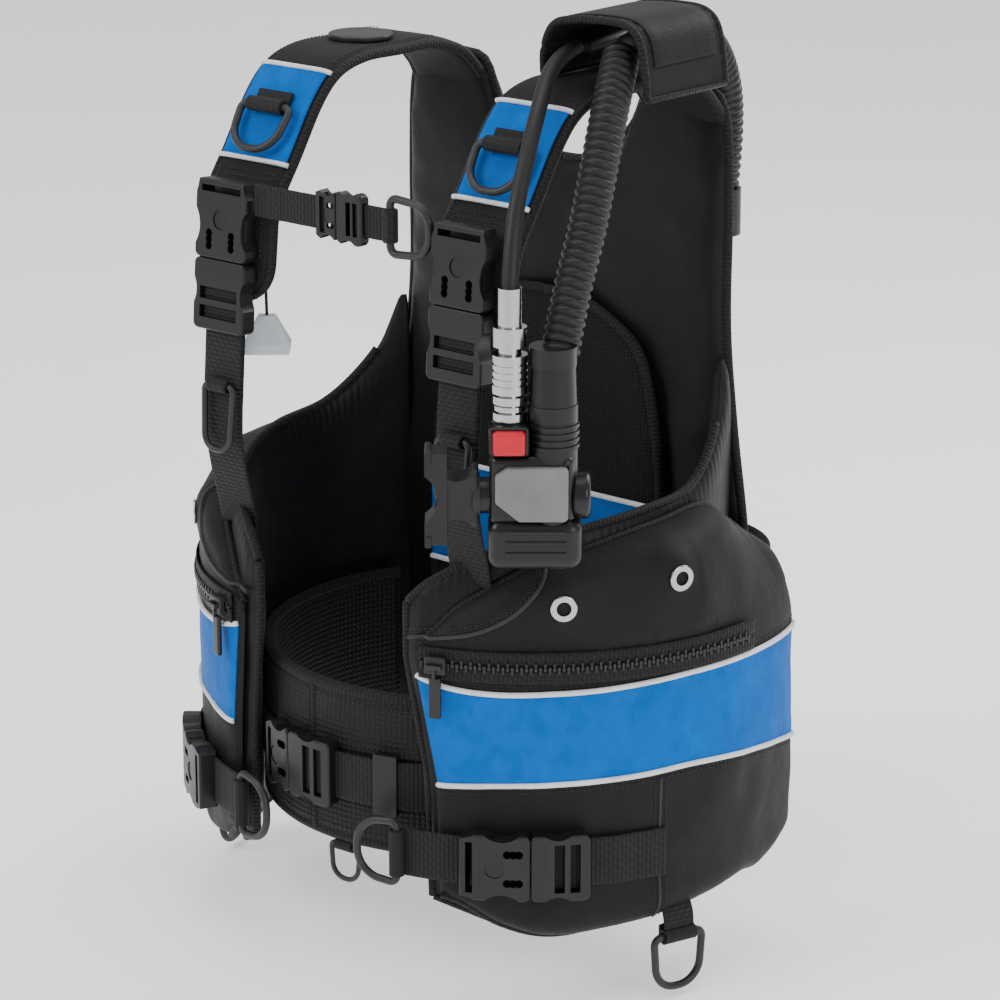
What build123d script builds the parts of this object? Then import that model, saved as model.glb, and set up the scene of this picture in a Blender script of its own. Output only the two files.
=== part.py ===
"""Buoyancy compensator vest for scuba diving, in millimetres.

Frame: +Z up, the wearer faces -Y and the wearer's left is +X. The origin is the centre of the
wearer's waist at belt height. The soft parts are plain closed solids. Angles round the body,
called turns, are measured from straight ahead and grow towards the wearer's left.
"""
import math
import os

from build123d import *

os.makedirs("parts", exist_ok=True)

# ---- driving dimensions ------------------------------------------------------------------
WEB = 2.4                       # thickness of every webbing
BELT_WIDTH = 38.0
CHEST_WIDTH = 25.0
BAND_WIDTH = 50.0
GAP = 0.4                       # play between pieces that move against each other
RELEASE = 25.0                  # travel that frees a side-release plug from its socket

BODY = (0.0, 30.0)              # centre of the round plan of wings, cummerbund and belt
WING_OUTER = 196.0
WING_INNER = 178.0
WING_FRONT = 23.5               # turn of the wings' front edges
CUMMERBUND_OUTER = 172.0
CUMMERBUND_INNER = 162.0
CUMMERBUND_LOW = -55.0
CUMMERBUND_HIGH = 68.0
BELT_RADIUS = CUMMERBUND_OUTER + 0.4

POCKET = (35.0, 50.0)           # centre of a cargo pocket's round face, on the left side
POCKET_RADIUS = 210.0
POCKET_FRONT_X = 84.0
POCKET_DOME = 184.0             # height where the pocket's face starts to lean inwards
ZIP_HEIGHT = 112.0
ZIP_START = 17.0
ZIP_END = 91.0
STRAP_HEIGHT = -40.0            # centre of the strap across a pocket

BACK_INNER = 118.0              # bladder behind the wearer, from its front to its back face
BACK_OUTER = 150.0
TANK_RADIUS = 92.0
TANK_Y = 256.0
BAND_HEIGHT = 60.0

PAD_X = 117.0                   # centre of a shoulder pad
PAD_HALF = 35.0
PAD_THICK = 12.0
PAD_LINE = [(134, 455), (118, 519), (-42, 519), (-112, 415), (-117, 347)]   # (y, z)
PAD_BEND = 60.0

RING_WIRE = 6.0

INFLATOR = (190.0, -130.0, 259.0)   # middle of the power inflator
INFLATOR_TURN = 40.0                # its face looks this far to the wearer's left
HOSE_RADIUS = 14.0
LP_RADIUS = 6.0
HOSE_X = 10.0                       # inflator barrel and coupling, across the inflator
COUPLING_X = -20.5

# routes of the hoses and of the pull cord
HOSE_FRONT = [(156, 4, 547), (173, -27, 524), (183, -53, 484), (191, -76, 440), (195, -100, 398),
              (198, -116, 356)]
HOSE_REAR = [(120, 174, 410), (121, 182, 465), (129, 160, 517), (141, 114, 549), (150, 60, 553),
             (156, 15, 547)]
LP_FRONT = [(114, 4, 547), (125, -37, 546), (148, -84, 510), (160, -118, 462), (170, -137, 426),
            (174.3, -143.2, 394)]
LP_REAR = [(112, 15, 545), (108, 62, 547), (103, 114, 541), (94, 157, 511), (86, 173, 462), (83, 169, 408),
           (87, 168, 353), (83, 171, 298), (86, 169, 243)]
PULL_ROUTE = [(-101, -105, 404), (-101.8, -102.6, 382), (-100.6, -101.8, 357), (-101, -101, 332)]
PULL_RADIUS = 1.3

left = {}                       # solids of the wearer's left side, mirrored for the right side


# ---- helpers -----------------------------------------------------------------------------
def polar(centre, radius, turn):
    """Plan position at a turn from straight ahead."""
    angle = math.radians(turn)
    return (centre[0] + radius * math.sin(angle), centre[1] - radius * math.cos(angle))


def arc_band(centre, inner, outer, start, end, low, high):
    """Upright piece of a ring between two turns."""
    outside = CenterArc((*centre, low), outer, start - 90, end - start)
    inside = CenterArc((*centre, low), inner, start - 90, end - start)
    sides = [Line(inside @ 0, outside @ 0), Line(inside @ 1, outside @ 1)]
    return extrude(make_face([outside, inside] + sides), amount=high - low, dir=(0, 0, 1))


def side_slab(points, x0, x1):
    """Outline of (y, z) points, extruded across the body."""
    face = Plane.YZ * make_face(Polyline(*points, close=True))
    return Pos(x0, 0, 0) * extrude(face, amount=x1 - x0, dir=(1, 0, 0))


def front_slab(points, y0, y1):
    """Outline of (x, z) points, mirrored to the right side and extruded front to back."""
    outline = list(points) + [(-x, z) for x, z in reversed(points) if x > 0]
    face = Plane.XZ * make_face(Polyline(*outline, close=True))
    return Pos(0, y0, 0) * extrude(face, amount=y1 - y0, dir=(0, 1, 0))


def block(x0, x1, y0, y1, z0, z1, soft=0.0):
    """Box between two corners, with rounded edges if asked."""
    box = Pos((x0 + x1) / 2, (y0 + y1) / 2, (z0 + z1) / 2) * Box(x1 - x0, y1 - y0, z1 - z0)
    return fillet(box.edges(), soft) if soft else box


def rod(radius, low, high, at=(0, 0)):
    """Upright cylinder."""
    return Pos(at[0], at[1], (low + high) / 2) * Cylinder(radius, high - low)


def mirrored(solid):
    return mirror(solid, about=Plane.YZ)


def ring_loop(width, height, wire, blunt=0.42):
    """D-ring about a bar along local X at the origin, hanging towards local -Y."""
    half = width / 2
    corners = [(-half, 0), (half, 0), (half * 0.86, -height), (-half * 0.86, -height)]
    bend = [wire, wire, width * blunt, width * blunt]
    path = FilletPolyline(*corners, radius=bend, close=True)
    start = Plane(origin=path @ 0, z_dir=path % 0)
    return sweep(start * Circle(wire / 2), path=path)


def ring_tab(width, wire, tail):
    """Webbing loop round a D-ring's bar, with its sewn tail towards local +Y."""
    hole = wire / 2 + GAP
    loop = Rot(0, 90, 0) * (Cylinder(hole + WEB, width) - Cylinder(hole, width))
    sewn = block(-width / 2, width / 2, 0, tail, -hole - WEB, -hole)
    return loop + (sewn - Rot(0, 90, 0) * Cylinder(hole, width))


def rounded(solid, thick, soft, corner):
    """Rounds a plate's corners, seen from its face, and then all of its edges."""
    if corner:
        upright = [e for e in solid.edges() if abs(e.length - thick) < 0.001]
        solid = fillet(upright, corner)
    return fillet(solid.edges(), soft) if soft else solid


class FlatBed:
    """Builds blocks along a straight strap: u along it, v across it, w out from the body."""

    def __init__(self, plane):
        self.plane = plane

    def block(self, u0, u1, v0, v1, w0, w1, soft=0.0, corner=0.0):
        solid = rounded(block(u0, u1, v0, v1, w0, w1), w1 - w0, soft, corner)
        return self.plane * solid

    def hole(self, u, v, radius, w0, w1):
        return self.plane * Pos(u, v, (w0 + w1) / 2) * Cylinder(radius, w1 - w0)


class RoundBed:
    """Builds blocks along a strap that runs level round a centre: u is arc length."""

    def __init__(self, centre, radius, turn, height):
        self.centre = centre
        self.radius = radius
        self.turn = turn
        self.height = height

    def block(self, u0, u1, v0, v1, w0, w1, soft=0.0, corner=0.0):
        start = self.turn + math.degrees(u0 / self.radius)
        end = self.turn + math.degrees(u1 / self.radius)
        band = arc_band(self.centre, self.radius + w0, self.radius + w1, start, end,
                        self.height + v0, self.height + v1)
        return rounded(band, w1 - w0, soft, corner)

    def hole(self, u, v, radius, w0, w1):
        turn = self.turn + math.degrees(u / self.radius)
        at = polar(self.centre, self.radius + (w0 + w1) / 2, turn)
        seat = Plane(origin=(*at, self.height + v), z_dir=(*polar((0, 0), 1, turn), 0))
        return seat * Cylinder(radius, w1 - w0)


def socket_half(bed, web, length, thick):
    """Female half of a side-release buckle: it lies at u < 0 and its mouth is at u = 0."""
    half = web / 2 + 7
    shell = bed.block(-length, 0, -half, half, 0, thick, 1.6, 5)
    inside = bed.block(-length * 0.72, 1, -half + 3.5, half - 3.5, 2.5, thick - 2.5)
    grip = length * 0.40
    for side in (-1, 1):
        inside += bed.hole(-grip, side * (half - 5 + grip), grip, -1, thick + 1)
        inside += bed.hole(-length, side * (half - 3.2 + grip), grip, -1, thick + 1)
    face = bed.hole(-length * 0.50, 0, web * 0.20, thick - 0.9, thick + 1)
    eye = web * 0.085
    for side in (-1, 1):
        for place in (0.16, 0.24, 0.32):
            face += bed.hole(-length * place, side * web * 0.30, eye, thick - 3, thick + 1)
    slot = bed.block(-length + 4.5, -length + 9.5, -web / 2 - 1, web / 2 + 1, -1, thick + 1)
    return shell - inside - face - slot


def plug_half(bed, web, length, thick, reach, strap_low, strap_high, travel=RELEASE):
    """Male half: prongs reach into the socket, and the strap enters a pocket in its far end."""
    half = web / 2 + 7
    base = bed.block(GAP, length, -half, half, 0, thick, 1.6, 5)
    waist = length * 0.36
    for side in (-1, 1):
        base = base - bed.hole(length * 0.46, side * (half - 3.5 + waist), waist, -1, thick + 1)
    depth = travel + 10
    pocket = bed.block(length - depth, length + 1, -web / 2 - 1, web / 2 + 1,
                       strap_low - GAP, strap_high + GAP)
    ladder = Part()
    for row in (0.40, 0.66):
        ladder += bed.block(length * row, length * (row + 0.17), -web / 2, web / 2, strap_high, thick + 1)
    prongs = Part()
    for side in (-1, 1):
        inner = half - 3.5 - GAP - 6
        low, high = sorted((side * inner, side * (inner + 6)))
        prongs += bed.block(-reach, GAP + 4, low, high, 2.5 + GAP, thick - 2.5 - GAP)
    prongs += bed.block(-reach * 0.85, GAP + 4, -3, 3, 2.5 + GAP, thick - 2.5 - GAP)
    return base - pocket - ladder + prongs


def tube(route, radius, name):
    """Hose or cord: straight runs joined by tangent arcs, each as large as its runs allow."""
    points = [Vector(*p) for p in route]
    runs = [b - a for a, b in zip(points, points[1:])]
    bends = []
    for before, after in zip(runs, runs[1:]):
        shorter = min(before.length, after.length)
        bends.append(0.45 * shorter / math.tan(math.radians(before.get_angle(after)) / 2))
    path = FilletPolyline(*route, radius=bends)
    start = Plane(origin=path @ 0, z_dir=path % 0)
    solid = sweep(start * Circle(radius), path=path)
    expected = math.pi * radius ** 2 * path.length
    print(name, "arc radii", [round(b) for b in bends], "length", round(path.length),
          "volume ratio", round(solid.volume / expected, 3))
    return solid


# ---- bladder, pockets and back -----------------------------------------------------------
back_outline = [(0, 430), (46, 442), (76, 478), (84, 500), (146, 500), (156, 468), (158, 405),
                (158, 320), (166, 242), (180, 149), (180, 0), (170, -58), (0, -58)]
bladder_back = front_slab(back_outline, BACK_INNER, BACK_OUTER)

wing_side = [(-170, 96), (-150, 123), (-143, 148), (-132, 172), (-104, 195), (-53, 205), (-3, 210),
             (57, 216), (101, 250), (117.6, 290), (117.6, -70), (61, -93), (-45, -104), (-96, -106),
             (-130, -88), (-170, -56)]
left["wing"] = arc_band(BODY, WING_INNER, WING_OUTER, WING_FRONT, 140, -112, 300)
left["wing"] = left["wing"] & side_slab(wing_side, 0, 260)

pocket_side = [(-170, 84), (-150, 112), (-143, 138), (-132, 162), (-104, 186), (-53, 197), (-3, 202),
               (57, 206), (BACK_OUTER, 150), (BACK_OUTER, -62), (90, -96), (61, -93), (-45, -106),
               (-96, -110), (-126, -99), (-146, -75), (-170, -56)]
dome = Pos(*POCKET, POCKET_DOME + 16) * Cone(POCKET_RADIUS, POCKET_RADIUS - 32, 32)
bag = rod(POCKET_RADIUS, -112, POCKET_DOME, POCKET) + dome
bag = bag - rod(WING_OUTER + GAP, -120, 220, BODY) - block(-200, POCKET_FRONT_X, -200, 300, -130, 230)
bag = bag - block(-200, 181, BACK_INNER - GAP, 300, -130, 230)
left["pocket"] = bag & side_slab(pocket_side, 0, 260)

pad_outline = [(0, 328), (55, 318), (92, 294), (108, 233), (115, 174), (118, 60), (118, -58), (0, -58)]
back_pad = front_slab(pad_outline, 106, BACK_INNER)
lumbar_panel = block(-115, 115, 103, 106, 88, 173)

tank = rod(TANK_RADIUS + WEB + 0.2, -60, 400, (0, TANK_Y))
plate_outline = [(0, 330), (52, 330), (70, 300), (70, 20), (50, -10), (0, -10)]
backpack_plate = front_slab(plate_outline, BACK_OUTER, 164) - tank

band_low = BAND_HEIGHT - BAND_WIDTH / 2
band_high = BAND_HEIGHT + BAND_WIDTH / 2
band_radius = TANK_RADIUS + 0.1
tank_band = rod(band_radius + WEB, band_low, band_high, (0, TANK_Y)) - rod(band_radius, 0, 200, (0, TANK_Y))

# cam buckle on the band, on the wearer's right; its lever turns about an upright pin
buckle_x = -(band_radius + WEB)
frame = block(buckle_x - 18, buckle_x, TANK_Y - 30, TANK_Y + 26, band_low - 5, band_high + 5, 1.5)
frame = frame - rod(band_radius + WEB, 0, 200, (0, TANK_Y))
frame = frame - block(buckle_x - 20, buckle_x - 5, TANK_Y - 23, TANK_Y + 40, band_low, band_high)
lever_pin = (buckle_x - 12, TANK_Y - 14)
cam_lever = rod(6.5, band_low + 1, band_high - 1, lever_pin)
cam_lever += block(buckle_x - 18, buckle_x - 11, TANK_Y - 14, TANK_Y + 48, band_low + 1, band_high - 1, 2)
pin_hole = rod(2.5 + GAP, band_low - 10, band_high + 10, lever_pin)
tank_buckle = frame - pin_hole + rod(2.5, band_low - 4, band_high + 4, lever_pin)
tank_buckle_lever = cam_lever - pin_hole

handle_line = FilletPolyline((-62, 151.5), (-50, 183), (50, 183), (62, 151.5), radius=18)
handle = extrude(trace(handle_line, 3.0), amount=30, dir=(0, 0, 1))
carry_handle = Pos(0, 0, 338) * handle - block(-100, 100, 100, BACK_OUTER, 300, 400)

# ---- shoulder pads, straps and their rings -----------------------------------------------
pad_line = FilletPolyline(*PAD_LINE, radius=PAD_BEND)
pad = extrude(Plane.YZ * trace(pad_line, PAD_THICK), amount=2 * PAD_HALF, dir=(1, 0, 0))
left["pad"] = Pos(PAD_X - PAD_HALF, 0, 0) * pad - bladder_back

foot, knee, hip = PAD_LINE[4], PAD_LINE[3], PAD_LINE[2]
strap_tilt = math.atan2(knee[0] - foot[0], knee[1] - foot[1])
strap_out = (0, -math.cos(strap_tilt), math.sin(strap_tilt))
strap_down = (0, -math.sin(strap_tilt), -math.cos(strap_tilt))
strap_plane = Plane(origin=(PAD_X, *knee), x_dir=strap_down, z_dir=strap_out)
strap_bed = FlatBed(strap_plane)

slope_tilt = math.atan2(hip[0] - knee[0], hip[1] - knee[1])
slope_out = (0, -math.cos(slope_tilt), math.sin(slope_tilt))
slope_mid = ((hip[0] + knee[0]) / 2, (hip[1] + knee[1]) / 2)
slope_plane = Plane(origin=(PAD_X, *slope_mid), x_dir=(1, 0, 0), z_dir=slope_out)

panel_low = PAD_THICK / 2
left["panel"] = slope_plane * block(-PAD_HALF + 2, PAD_HALF - 2, -36, 30, panel_low, panel_low + 2.5)

ring_rise = panel_low + 2.5 + WEB + GAP + RING_WIRE / 2
ring_y = 16.0
shoulder_ring = ring_loop(50, 36, RING_WIRE)
shoulder_tab = ring_tab(34, RING_WIRE, 14)
left["shoulder_d_ring"] = slope_plane * Pos(0, ring_y, ring_rise) * shoulder_ring
left["shoulder_tab"] = slope_plane * Pos(0, ring_y, ring_rise) * shoulder_tab

BUCKLE_THICK = 14.0
SOCKET_LENGTH = 60.0
PLUG_LENGTH = 55.0
bed_low = PAD_THICK / 2 + 0.3
mouth = 38.0                     # distance of the socket's mouth below the pad's knee
shoulder_bed = FlatBed(Plane(origin=strap_plane.from_local_coords((mouth, 0, bed_low)),
                             x_dir=strap_plane.x_dir, z_dir=strap_plane.z_dir))
left["shoulder_socket"] = socket_half(shoulder_bed, BELT_WIDTH, SOCKET_LENGTH, BUCKLE_THICK)
web_low = 2.0                    # lower face of the webbing above the buckle's bed
left["shoulder_plug"] = plug_half(shoulder_bed, BELT_WIDTH, PLUG_LENGTH, BUCKLE_THICK, 34,
                                  web_low, web_low + 2 * WEB)

half_web = BELT_WIDTH / 2
web_top = PLUG_LENGTH - 8
main_web = shoulder_bed.block(web_top, PLUG_LENGTH + 175, -half_web, half_web, web_low, web_low + WEB)
tail_end = PLUG_LENGTH + 42
tail_web = shoulder_bed.block(web_top, tail_end, -half_web, half_web, web_low + WEB, web_low + 2 * WEB)
tail_wire = 5.0
tail_hole = tail_wire / 2 + GAP
tail_axis = Plane(origin=shoulder_bed.plane.from_local_coords((tail_end, 0, web_low + 2 * WEB + tail_hole)),
                  x_dir=(1, 0, 0), z_dir=strap_out)
tail_loop = tail_axis * (Rot(0, 90, 0) * (Cylinder(tail_hole + WEB, 20) - Cylinder(tail_hole, 20)))
left["webbing"] = (main_web - left["pocket"] - left["wing"]) + tail_web + (tail_loop - main_web)
left["tail_ring"] = tail_axis * ring_loop(30, 50, tail_wire, 0.40)

# ---- chest strap, along X in front of the pads --------------------------------------------
CHEST_Z = 427.0
CHEST_Y = -120.0
CHEST_END = 46.0
chest_plane = Plane(origin=(0, CHEST_Y, CHEST_Z), x_dir=(1, 0, 0), z_dir=(0, -1, 0))
chest_bed = FlatBed(chest_plane)
chest_half = CHEST_WIDTH / 2
CHEST_THICK = 9.0
CHEST_PLUG = 26.0
CHEST_RELEASE = 13.0
chest_mouth = -4.0
chest_socket_bed = FlatBed(chest_plane * Pos(chest_mouth, 0, 0))
chest_socket = socket_half(chest_socket_bed, CHEST_WIDTH, 20, CHEST_THICK)
chest_low = 3.2                  # webbing's height over the chest strap's bed
chest_high = chest_low + WEB
chest_plug = plug_half(chest_socket_bed, CHEST_WIDTH, CHEST_PLUG, CHEST_THICK, 11,
                       chest_low, chest_high, CHEST_RELEASE)
pad_edge = -PAD_X + PAD_HALF
chest_right = chest_bed.block(pad_edge - 7, chest_mouth - 17, -chest_half, chest_half, chest_low, chest_high)
chest_right += chest_bed.block(pad_edge - 7, pad_edge + 2, -chest_half, chest_half, -22, chest_low)
chest_right = chest_right - mirrored(left["pad"]) - chest_socket
chest_wire = 6.0
chest_hole = chest_wire / 2 + GAP
chest_axis = (CHEST_END, CHEST_Y - chest_low - WEB / 2)
chest_left = chest_bed.block(chest_mouth + CHEST_PLUG - 8, CHEST_END - chest_hole - 0.5,
                             -chest_half, chest_half, chest_low, chest_high)
chest_loop = rod(chest_hole + WEB, CHEST_Z - chest_half, CHEST_Z + chest_half, chest_axis)
chest_bore = rod(chest_hole, CHEST_Z - 30, CHEST_Z + 30, chest_axis)
chest_strap = chest_right + (chest_left + chest_loop - chest_bore)
ring_plane = Plane(origin=(*chest_axis, CHEST_Z), x_dir=(0, 0, 1), z_dir=(0, -1, 0))
chest_ring = ring_plane * ring_loop(42, 38, chest_wire)

# ---- cummerbund and waist belt ------------------------------------------------------------
WAIST_SPLIT = -8.0
CUMMERBUND_END = 116.0


def cummerbund_flap(start, end):
    """One side of the cummerbund, between two turns."""
    return arc_band(BODY, CUMMERBUND_INNER, CUMMERBUND_OUTER, start, end, CUMMERBUND_LOW, CUMMERBUND_HIGH)


cummerbund_left = cummerbund_flap(WAIST_SPLIT, CUMMERBUND_END)
cummerbund_right = cummerbund_flap(-CUMMERBUND_END, WAIST_SPLIT - 0.3)
WAIST_THICK = 13.0
waist_bed = RoundBed(BODY, BELT_RADIUS + 0.3, -12.5, 0.0)
waist_socket = socket_half(waist_bed, BELT_WIDTH, 32, WAIST_THICK)
waist_plug = plug_half(waist_bed, BELT_WIDTH, 44, WAIST_THICK, 20, 3.0, 3.0 + WEB)
belt_low = BELT_RADIUS + 3.3
plug_edge = waist_bed.turn + math.degrees((44 - 8) / waist_bed.radius)
belt_left = arc_band(BODY, belt_low, belt_low + WEB, plug_edge, 20, -half_web, half_web)
belt_left += arc_band(BODY, BELT_RADIUS, belt_low + WEB, 20, 22, -half_web, half_web)
belt_left += arc_band(BODY, BELT_RADIUS, BELT_RADIUS + WEB, 22, 100, -half_web, half_web)
socket_edge = waist_bed.turn - math.degrees(32 / waist_bed.radius)
belt_right = arc_band(BODY, BELT_RADIUS, BELT_RADIUS + WEB, -100, socket_edge, -half_web, half_web)
waist_belt = Part() + [belt_left, belt_right]


def tri_glide(turn):
    """Three-bar slider round the waist belt."""
    belt_high = belt_low + WEB
    wall = 2.2
    outer_frame = arc_band(BODY, belt_low - wall, belt_high + wall, turn - 3.2, turn + 3.2,
                           -half_web - 5, half_web + 5)
    outer_frame = fillet(outer_frame.edges(), 1.0)
    return outer_frame - arc_band(BODY, belt_low, belt_high, turn - 8, turn + 8,
                                  -half_web - 0.3, half_web + 0.3)


waist_slider = tri_glide(16.6)

crotch_turn = 2.0
crotch_at = polar(BODY, (CUMMERBUND_OUTER + CUMMERBUND_INNER) / 2, crotch_turn)
crotch_plane = Plane(origin=(*crotch_at, CUMMERBUND_LOW - 6), x_dir=(math.cos(math.radians(crotch_turn)),
                     math.sin(math.radians(crotch_turn)), 0), z_dir=(*polar((0, 0), 1, crotch_turn), 0))
cummerbund_ring = crotch_plane * ring_loop(28, 28, 4.0)
crotch_tab = crotch_plane * ring_tab(16, 4.0, 6)

# ---- pockets: zip, strap, buckle, grommets and rings -------------------------------------
face_radius = POCKET_RADIUS + 0.2
left["zip_chain"] = Part()
for half_height, rise in ((11.0, 1.2), (3.0, 3.0)):     # tape, then teeth
    left["zip_chain"] += arc_band(POCKET, face_radius, face_radius + rise, ZIP_START, ZIP_END,
                                  ZIP_HEIGHT - half_height, ZIP_HEIGHT + half_height)
slider_turn = 20.5
slider_bed = RoundBed(POCKET, face_radius + 1.6, slider_turn, ZIP_HEIGHT)
slider = slider_bed.block(-8, 8, -6.5, 6.5, 0, 6.0, 1.2) - slider_bed.block(-20, 20, -3.5, 3.5, -1, 2.0)
slider += slider_bed.block(-6, 6, -1.5, 1.5, 5.5, 9.5) - slider_bed.block(-3.5, 3.5, -3, 3, 5.5, 7.8)
pull_tab = slider_bed.block(-4.5, 4.5, -41, -9, 2.2, 6.2, 1.5)
pull_tab += slider_bed.block(-1.2, 1.2, -10, 2, 5.9, 7.6)
left["zip_slider"] = slider + pull_tab

strap_low = POCKET_RADIUS + GAP
BUCKLE_WEB = 38.0
pocket_bed = RoundBed(POCKET, strap_low, 39.5, STRAP_HEIGHT)
left["pocket_socket"] = socket_half(pocket_bed, BUCKLE_WEB, 50, 15)
left["pocket_plug"] = plug_half(pocket_bed, BUCKLE_WEB, 42, 15, 30, 1.6, 1.6 + WEB)
front_strap_end = pocket_bed.turn - math.degrees(50 / strap_low)
rear_strap_start = pocket_bed.turn + math.degrees((42 - 8) / strap_low)
plug_end = pocket_bed.turn + math.degrees((42 + RELEASE + 4) / strap_low)
z_low, z_high = STRAP_HEIGHT - half_web, STRAP_HEIGHT + half_web
strap_front = arc_band(POCKET, strap_low, strap_low + WEB, 15, front_strap_end, z_low, z_high)
rear_low = strap_low + 1.6
strap_rear = arc_band(POCKET, rear_low, rear_low + WEB, rear_strap_start, plug_end, z_low, z_high)
strap_rear += arc_band(POCKET, strap_low, rear_low + WEB, plug_end, 68, z_low, z_high)
left["strap_front"] = strap_front
left["strap_rear"] = strap_rear

hip_turn = 12.0
hip_at = polar(POCKET, strap_low + WEB + GAP + RING_WIRE / 2, hip_turn)
hip_plane = Plane(origin=(*hip_at, STRAP_HEIGHT), x_dir=(0, 0, 1), z_dir=(*polar((0, 0), 1, hip_turn), 0))
left["hip_d_ring"] = hip_plane * Rot(0, 0, 180) * ring_loop(50, 34, RING_WIRE)
left["hip_tab"] = hip_plane * Rot(0, 0, 180) * ring_tab(36, RING_WIRE, 9)

bottom_turn = 72.0
bottom_at = polar(POCKET, POCKET_RADIUS - 2, bottom_turn)
tangent = (math.cos(math.radians(bottom_turn)), math.sin(math.radians(bottom_turn)), 0)
bottom_plane = Plane(origin=(*bottom_at, -112), x_dir=tangent, z_dir=(*polar((0, 0), 1, bottom_turn), 0))
left["bottom_d_ring"] = bottom_plane * ring_loop(44, 42, RING_WIRE)
left["bottom_tab"] = bottom_plane * ring_tab(28, RING_WIRE, 14) - left["pocket"] - left["wing"]


def grommet(turn, height):
    """Brass drain eyelet pressed through the pocket's face."""
    at = polar(POCKET, POCKET_RADIUS, turn)
    seat = Plane(origin=(*at, height), z_dir=(*polar((0, 0), 1, turn), 0))
    flange = fillet(Cylinder(10.0, 2.0).edges(), 0.9)
    barrel = Pos(0, 0, -2) * Cylinder(6.6, 5)
    return seat * Pos(0, 0, 1.3) * (flange + barrel - Cylinder(5.5, 20))


left["grommets"] = Part() + [grommet(46.0, 158), grommet(71.0, 172)]
grommet_holes = Part() + [Plane(origin=(*polar(POCKET, POCKET_RADIUS + 6, t), h),
                          z_dir=(*polar((0, 0), 1, t), 0)) * Pos(0, 0, -8) * Cylinder(6.8, 16)
                          for t, h in ((46.0, 158), (71.0, 172))]
left["pocket"] = left["pocket"] - grommet_holes

# ---- hoses over the left shoulder ---------------------------------------------------------
sleeve_line = FilletPolyline((97, 529), (100, 570), (178, 572), (191, 520), radius=18)
hose_sleeve = Pos(0, 82, 0) * extrude(Plane.XZ * trace(sleeve_line, 3.2), amount=94, dir=(0, -1, 0))
corrugated_hose = tube(HOSE_FRONT, HOSE_RADIUS, "corrugated_hose")
corrugated_hose_rear = tube(HOSE_REAR, HOSE_RADIUS, "corrugated_hose_rear")
lp_hose = tube(LP_FRONT, LP_RADIUS, "lp_hose")
lp_hose_rear = tube(LP_REAR, LP_RADIUS, "lp_hose_rear")
elbow_at = HOSE_REAR[0]
hose_elbow = rod(16.5, elbow_at[2] - 30, elbow_at[2] + 6, elbow_at[:2])
hose_elbow += Pos(elbow_at[0], BACK_OUTER + 5, elbow_at[2] - 14) * Rot(90, 0, 0) * Cylinder(25, 10)
hose_elbow = hose_elbow - block(0, 200, 100, BACK_OUTER, 300, 500)
nut_at = LP_REAR[-1]
lp_hose_fitting = Pos(nut_at[0], nut_at[1], nut_at[2] - 9) * extrude(RegularPolygon(9, 6), amount=13)
lp_hose_fitting += rod(6.8, nut_at[2] - 24, nut_at[2] - 9, nut_at[:2])
lp_hose_fitting += rod(7.5, nut_at[2], nut_at[2] + 18, nut_at[:2])

# ---- power inflator: x across, y away from its face, z up --------------------------------
inflator_place = Pos(*INFLATOR) * Rot(0, 0, INFLATOR_TURN)
case = block(-35, 25, -17, 17, -24, 27, 6)
barrel = rod(18, -50, 50, (HOSE_X, 0))
inlet = rod(13, 0, 50, (COUPLING_X, 0))
lower_case = block(-36, 31, -20, 20, -57, -20, 9)
side_cap = Pos(30, 0, -6) * Rot(0, 90, 0) * fillet(Cylinder(17, 14).edges(), 4)
inflate_seat = block(COUPLING_X - 15, COUPLING_X + 14, -19, 2, 27, 49, 3)
inflator_body = case + barrel + lower_case + inlet + side_cap + inflate_seat
mouth_port = Pos(-38, 0, -6) * Rot(0, 90, 0) * Cylinder(13, 12)
inflator_body += mouth_port
for level in (31, 36, 41, 46):
    inflator_body += rod(19.2, level, level + 2.4, (HOSE_X, 0))
for row in (-46, -38, -30):
    inflator_body += block(-24, 20, -21.2, -18, row, row + 3.5, 1)

deflate_outline = [(-31, 14), (-22, 20), (21, 20), (21, -20), (-14, -20), (-31, -6)]
deflate_face = Plane.XZ * make_face(Polyline(*deflate_outline, close=True))
deflate_button = Pos(0, -13.4, 0) * extrude(deflate_face, amount=8.6, dir=(0, -1, 0))
deflate_button = fillet(deflate_button.edges().filter_by(Axis.Y), 4)
deflate_button = fillet(deflate_button.faces().sort_by(Axis.Y)[0].edges(), 1.6)
seat_face = Plane.XZ * offset(make_face(Polyline(*deflate_outline, close=True)), amount=GAP)
inflator_body = inflator_body - Pos(0, -9, 0) * extrude(seat_face, amount=30, dir=(0, -1, 0))
inflate_button = block(COUPLING_X - 12, COUPLING_X + 11, -25, -15, 29.5, 46.5, 2.5)
inflate_hole = block(COUPLING_X - 12 - GAP, COUPLING_X + 11 + GAP, -30, -11.5, 29.5 - GAP, 46.5 + GAP)
inflator_body = inflator_body - inflate_hole

MOUTH_Z = -6.0
mouthpiece = Pos(-55.5, 0, MOUTH_Z) * fillet(Box(23, 28, 44).edges().filter_by(Axis.X), 6)
for side in (-1, 1):
    mouthpiece = mouthpiece - Pos(-58, 0, MOUTH_Z + side * 27) * Rot(90, 0, 0) * Cylinder(13, 60)
flange = Pos(-73, 0, MOUTH_Z) * fillet(Box(16, 38, 68).edges().filter_by(Axis.X), 8)
flange = flange - Pos(-94, 0, MOUTH_Z) * Rot(90, 0, 0) * Cylinder(22, 60)
for side in (-1, 1):
    flange = flange - Pos(-73, side * 30, MOUTH_Z) * Cylinder(17, 80)
    flange += Pos(-78.5, 0, MOUTH_Z + side * 31) * fillet(Box(5, 30, 9).edges(), 1.5)
mouthpiece = mouthpiece + flange - Pos(-64, 0, MOUTH_Z) * Rot(0, 90, 0) * Cylinder(10, 60)
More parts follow.
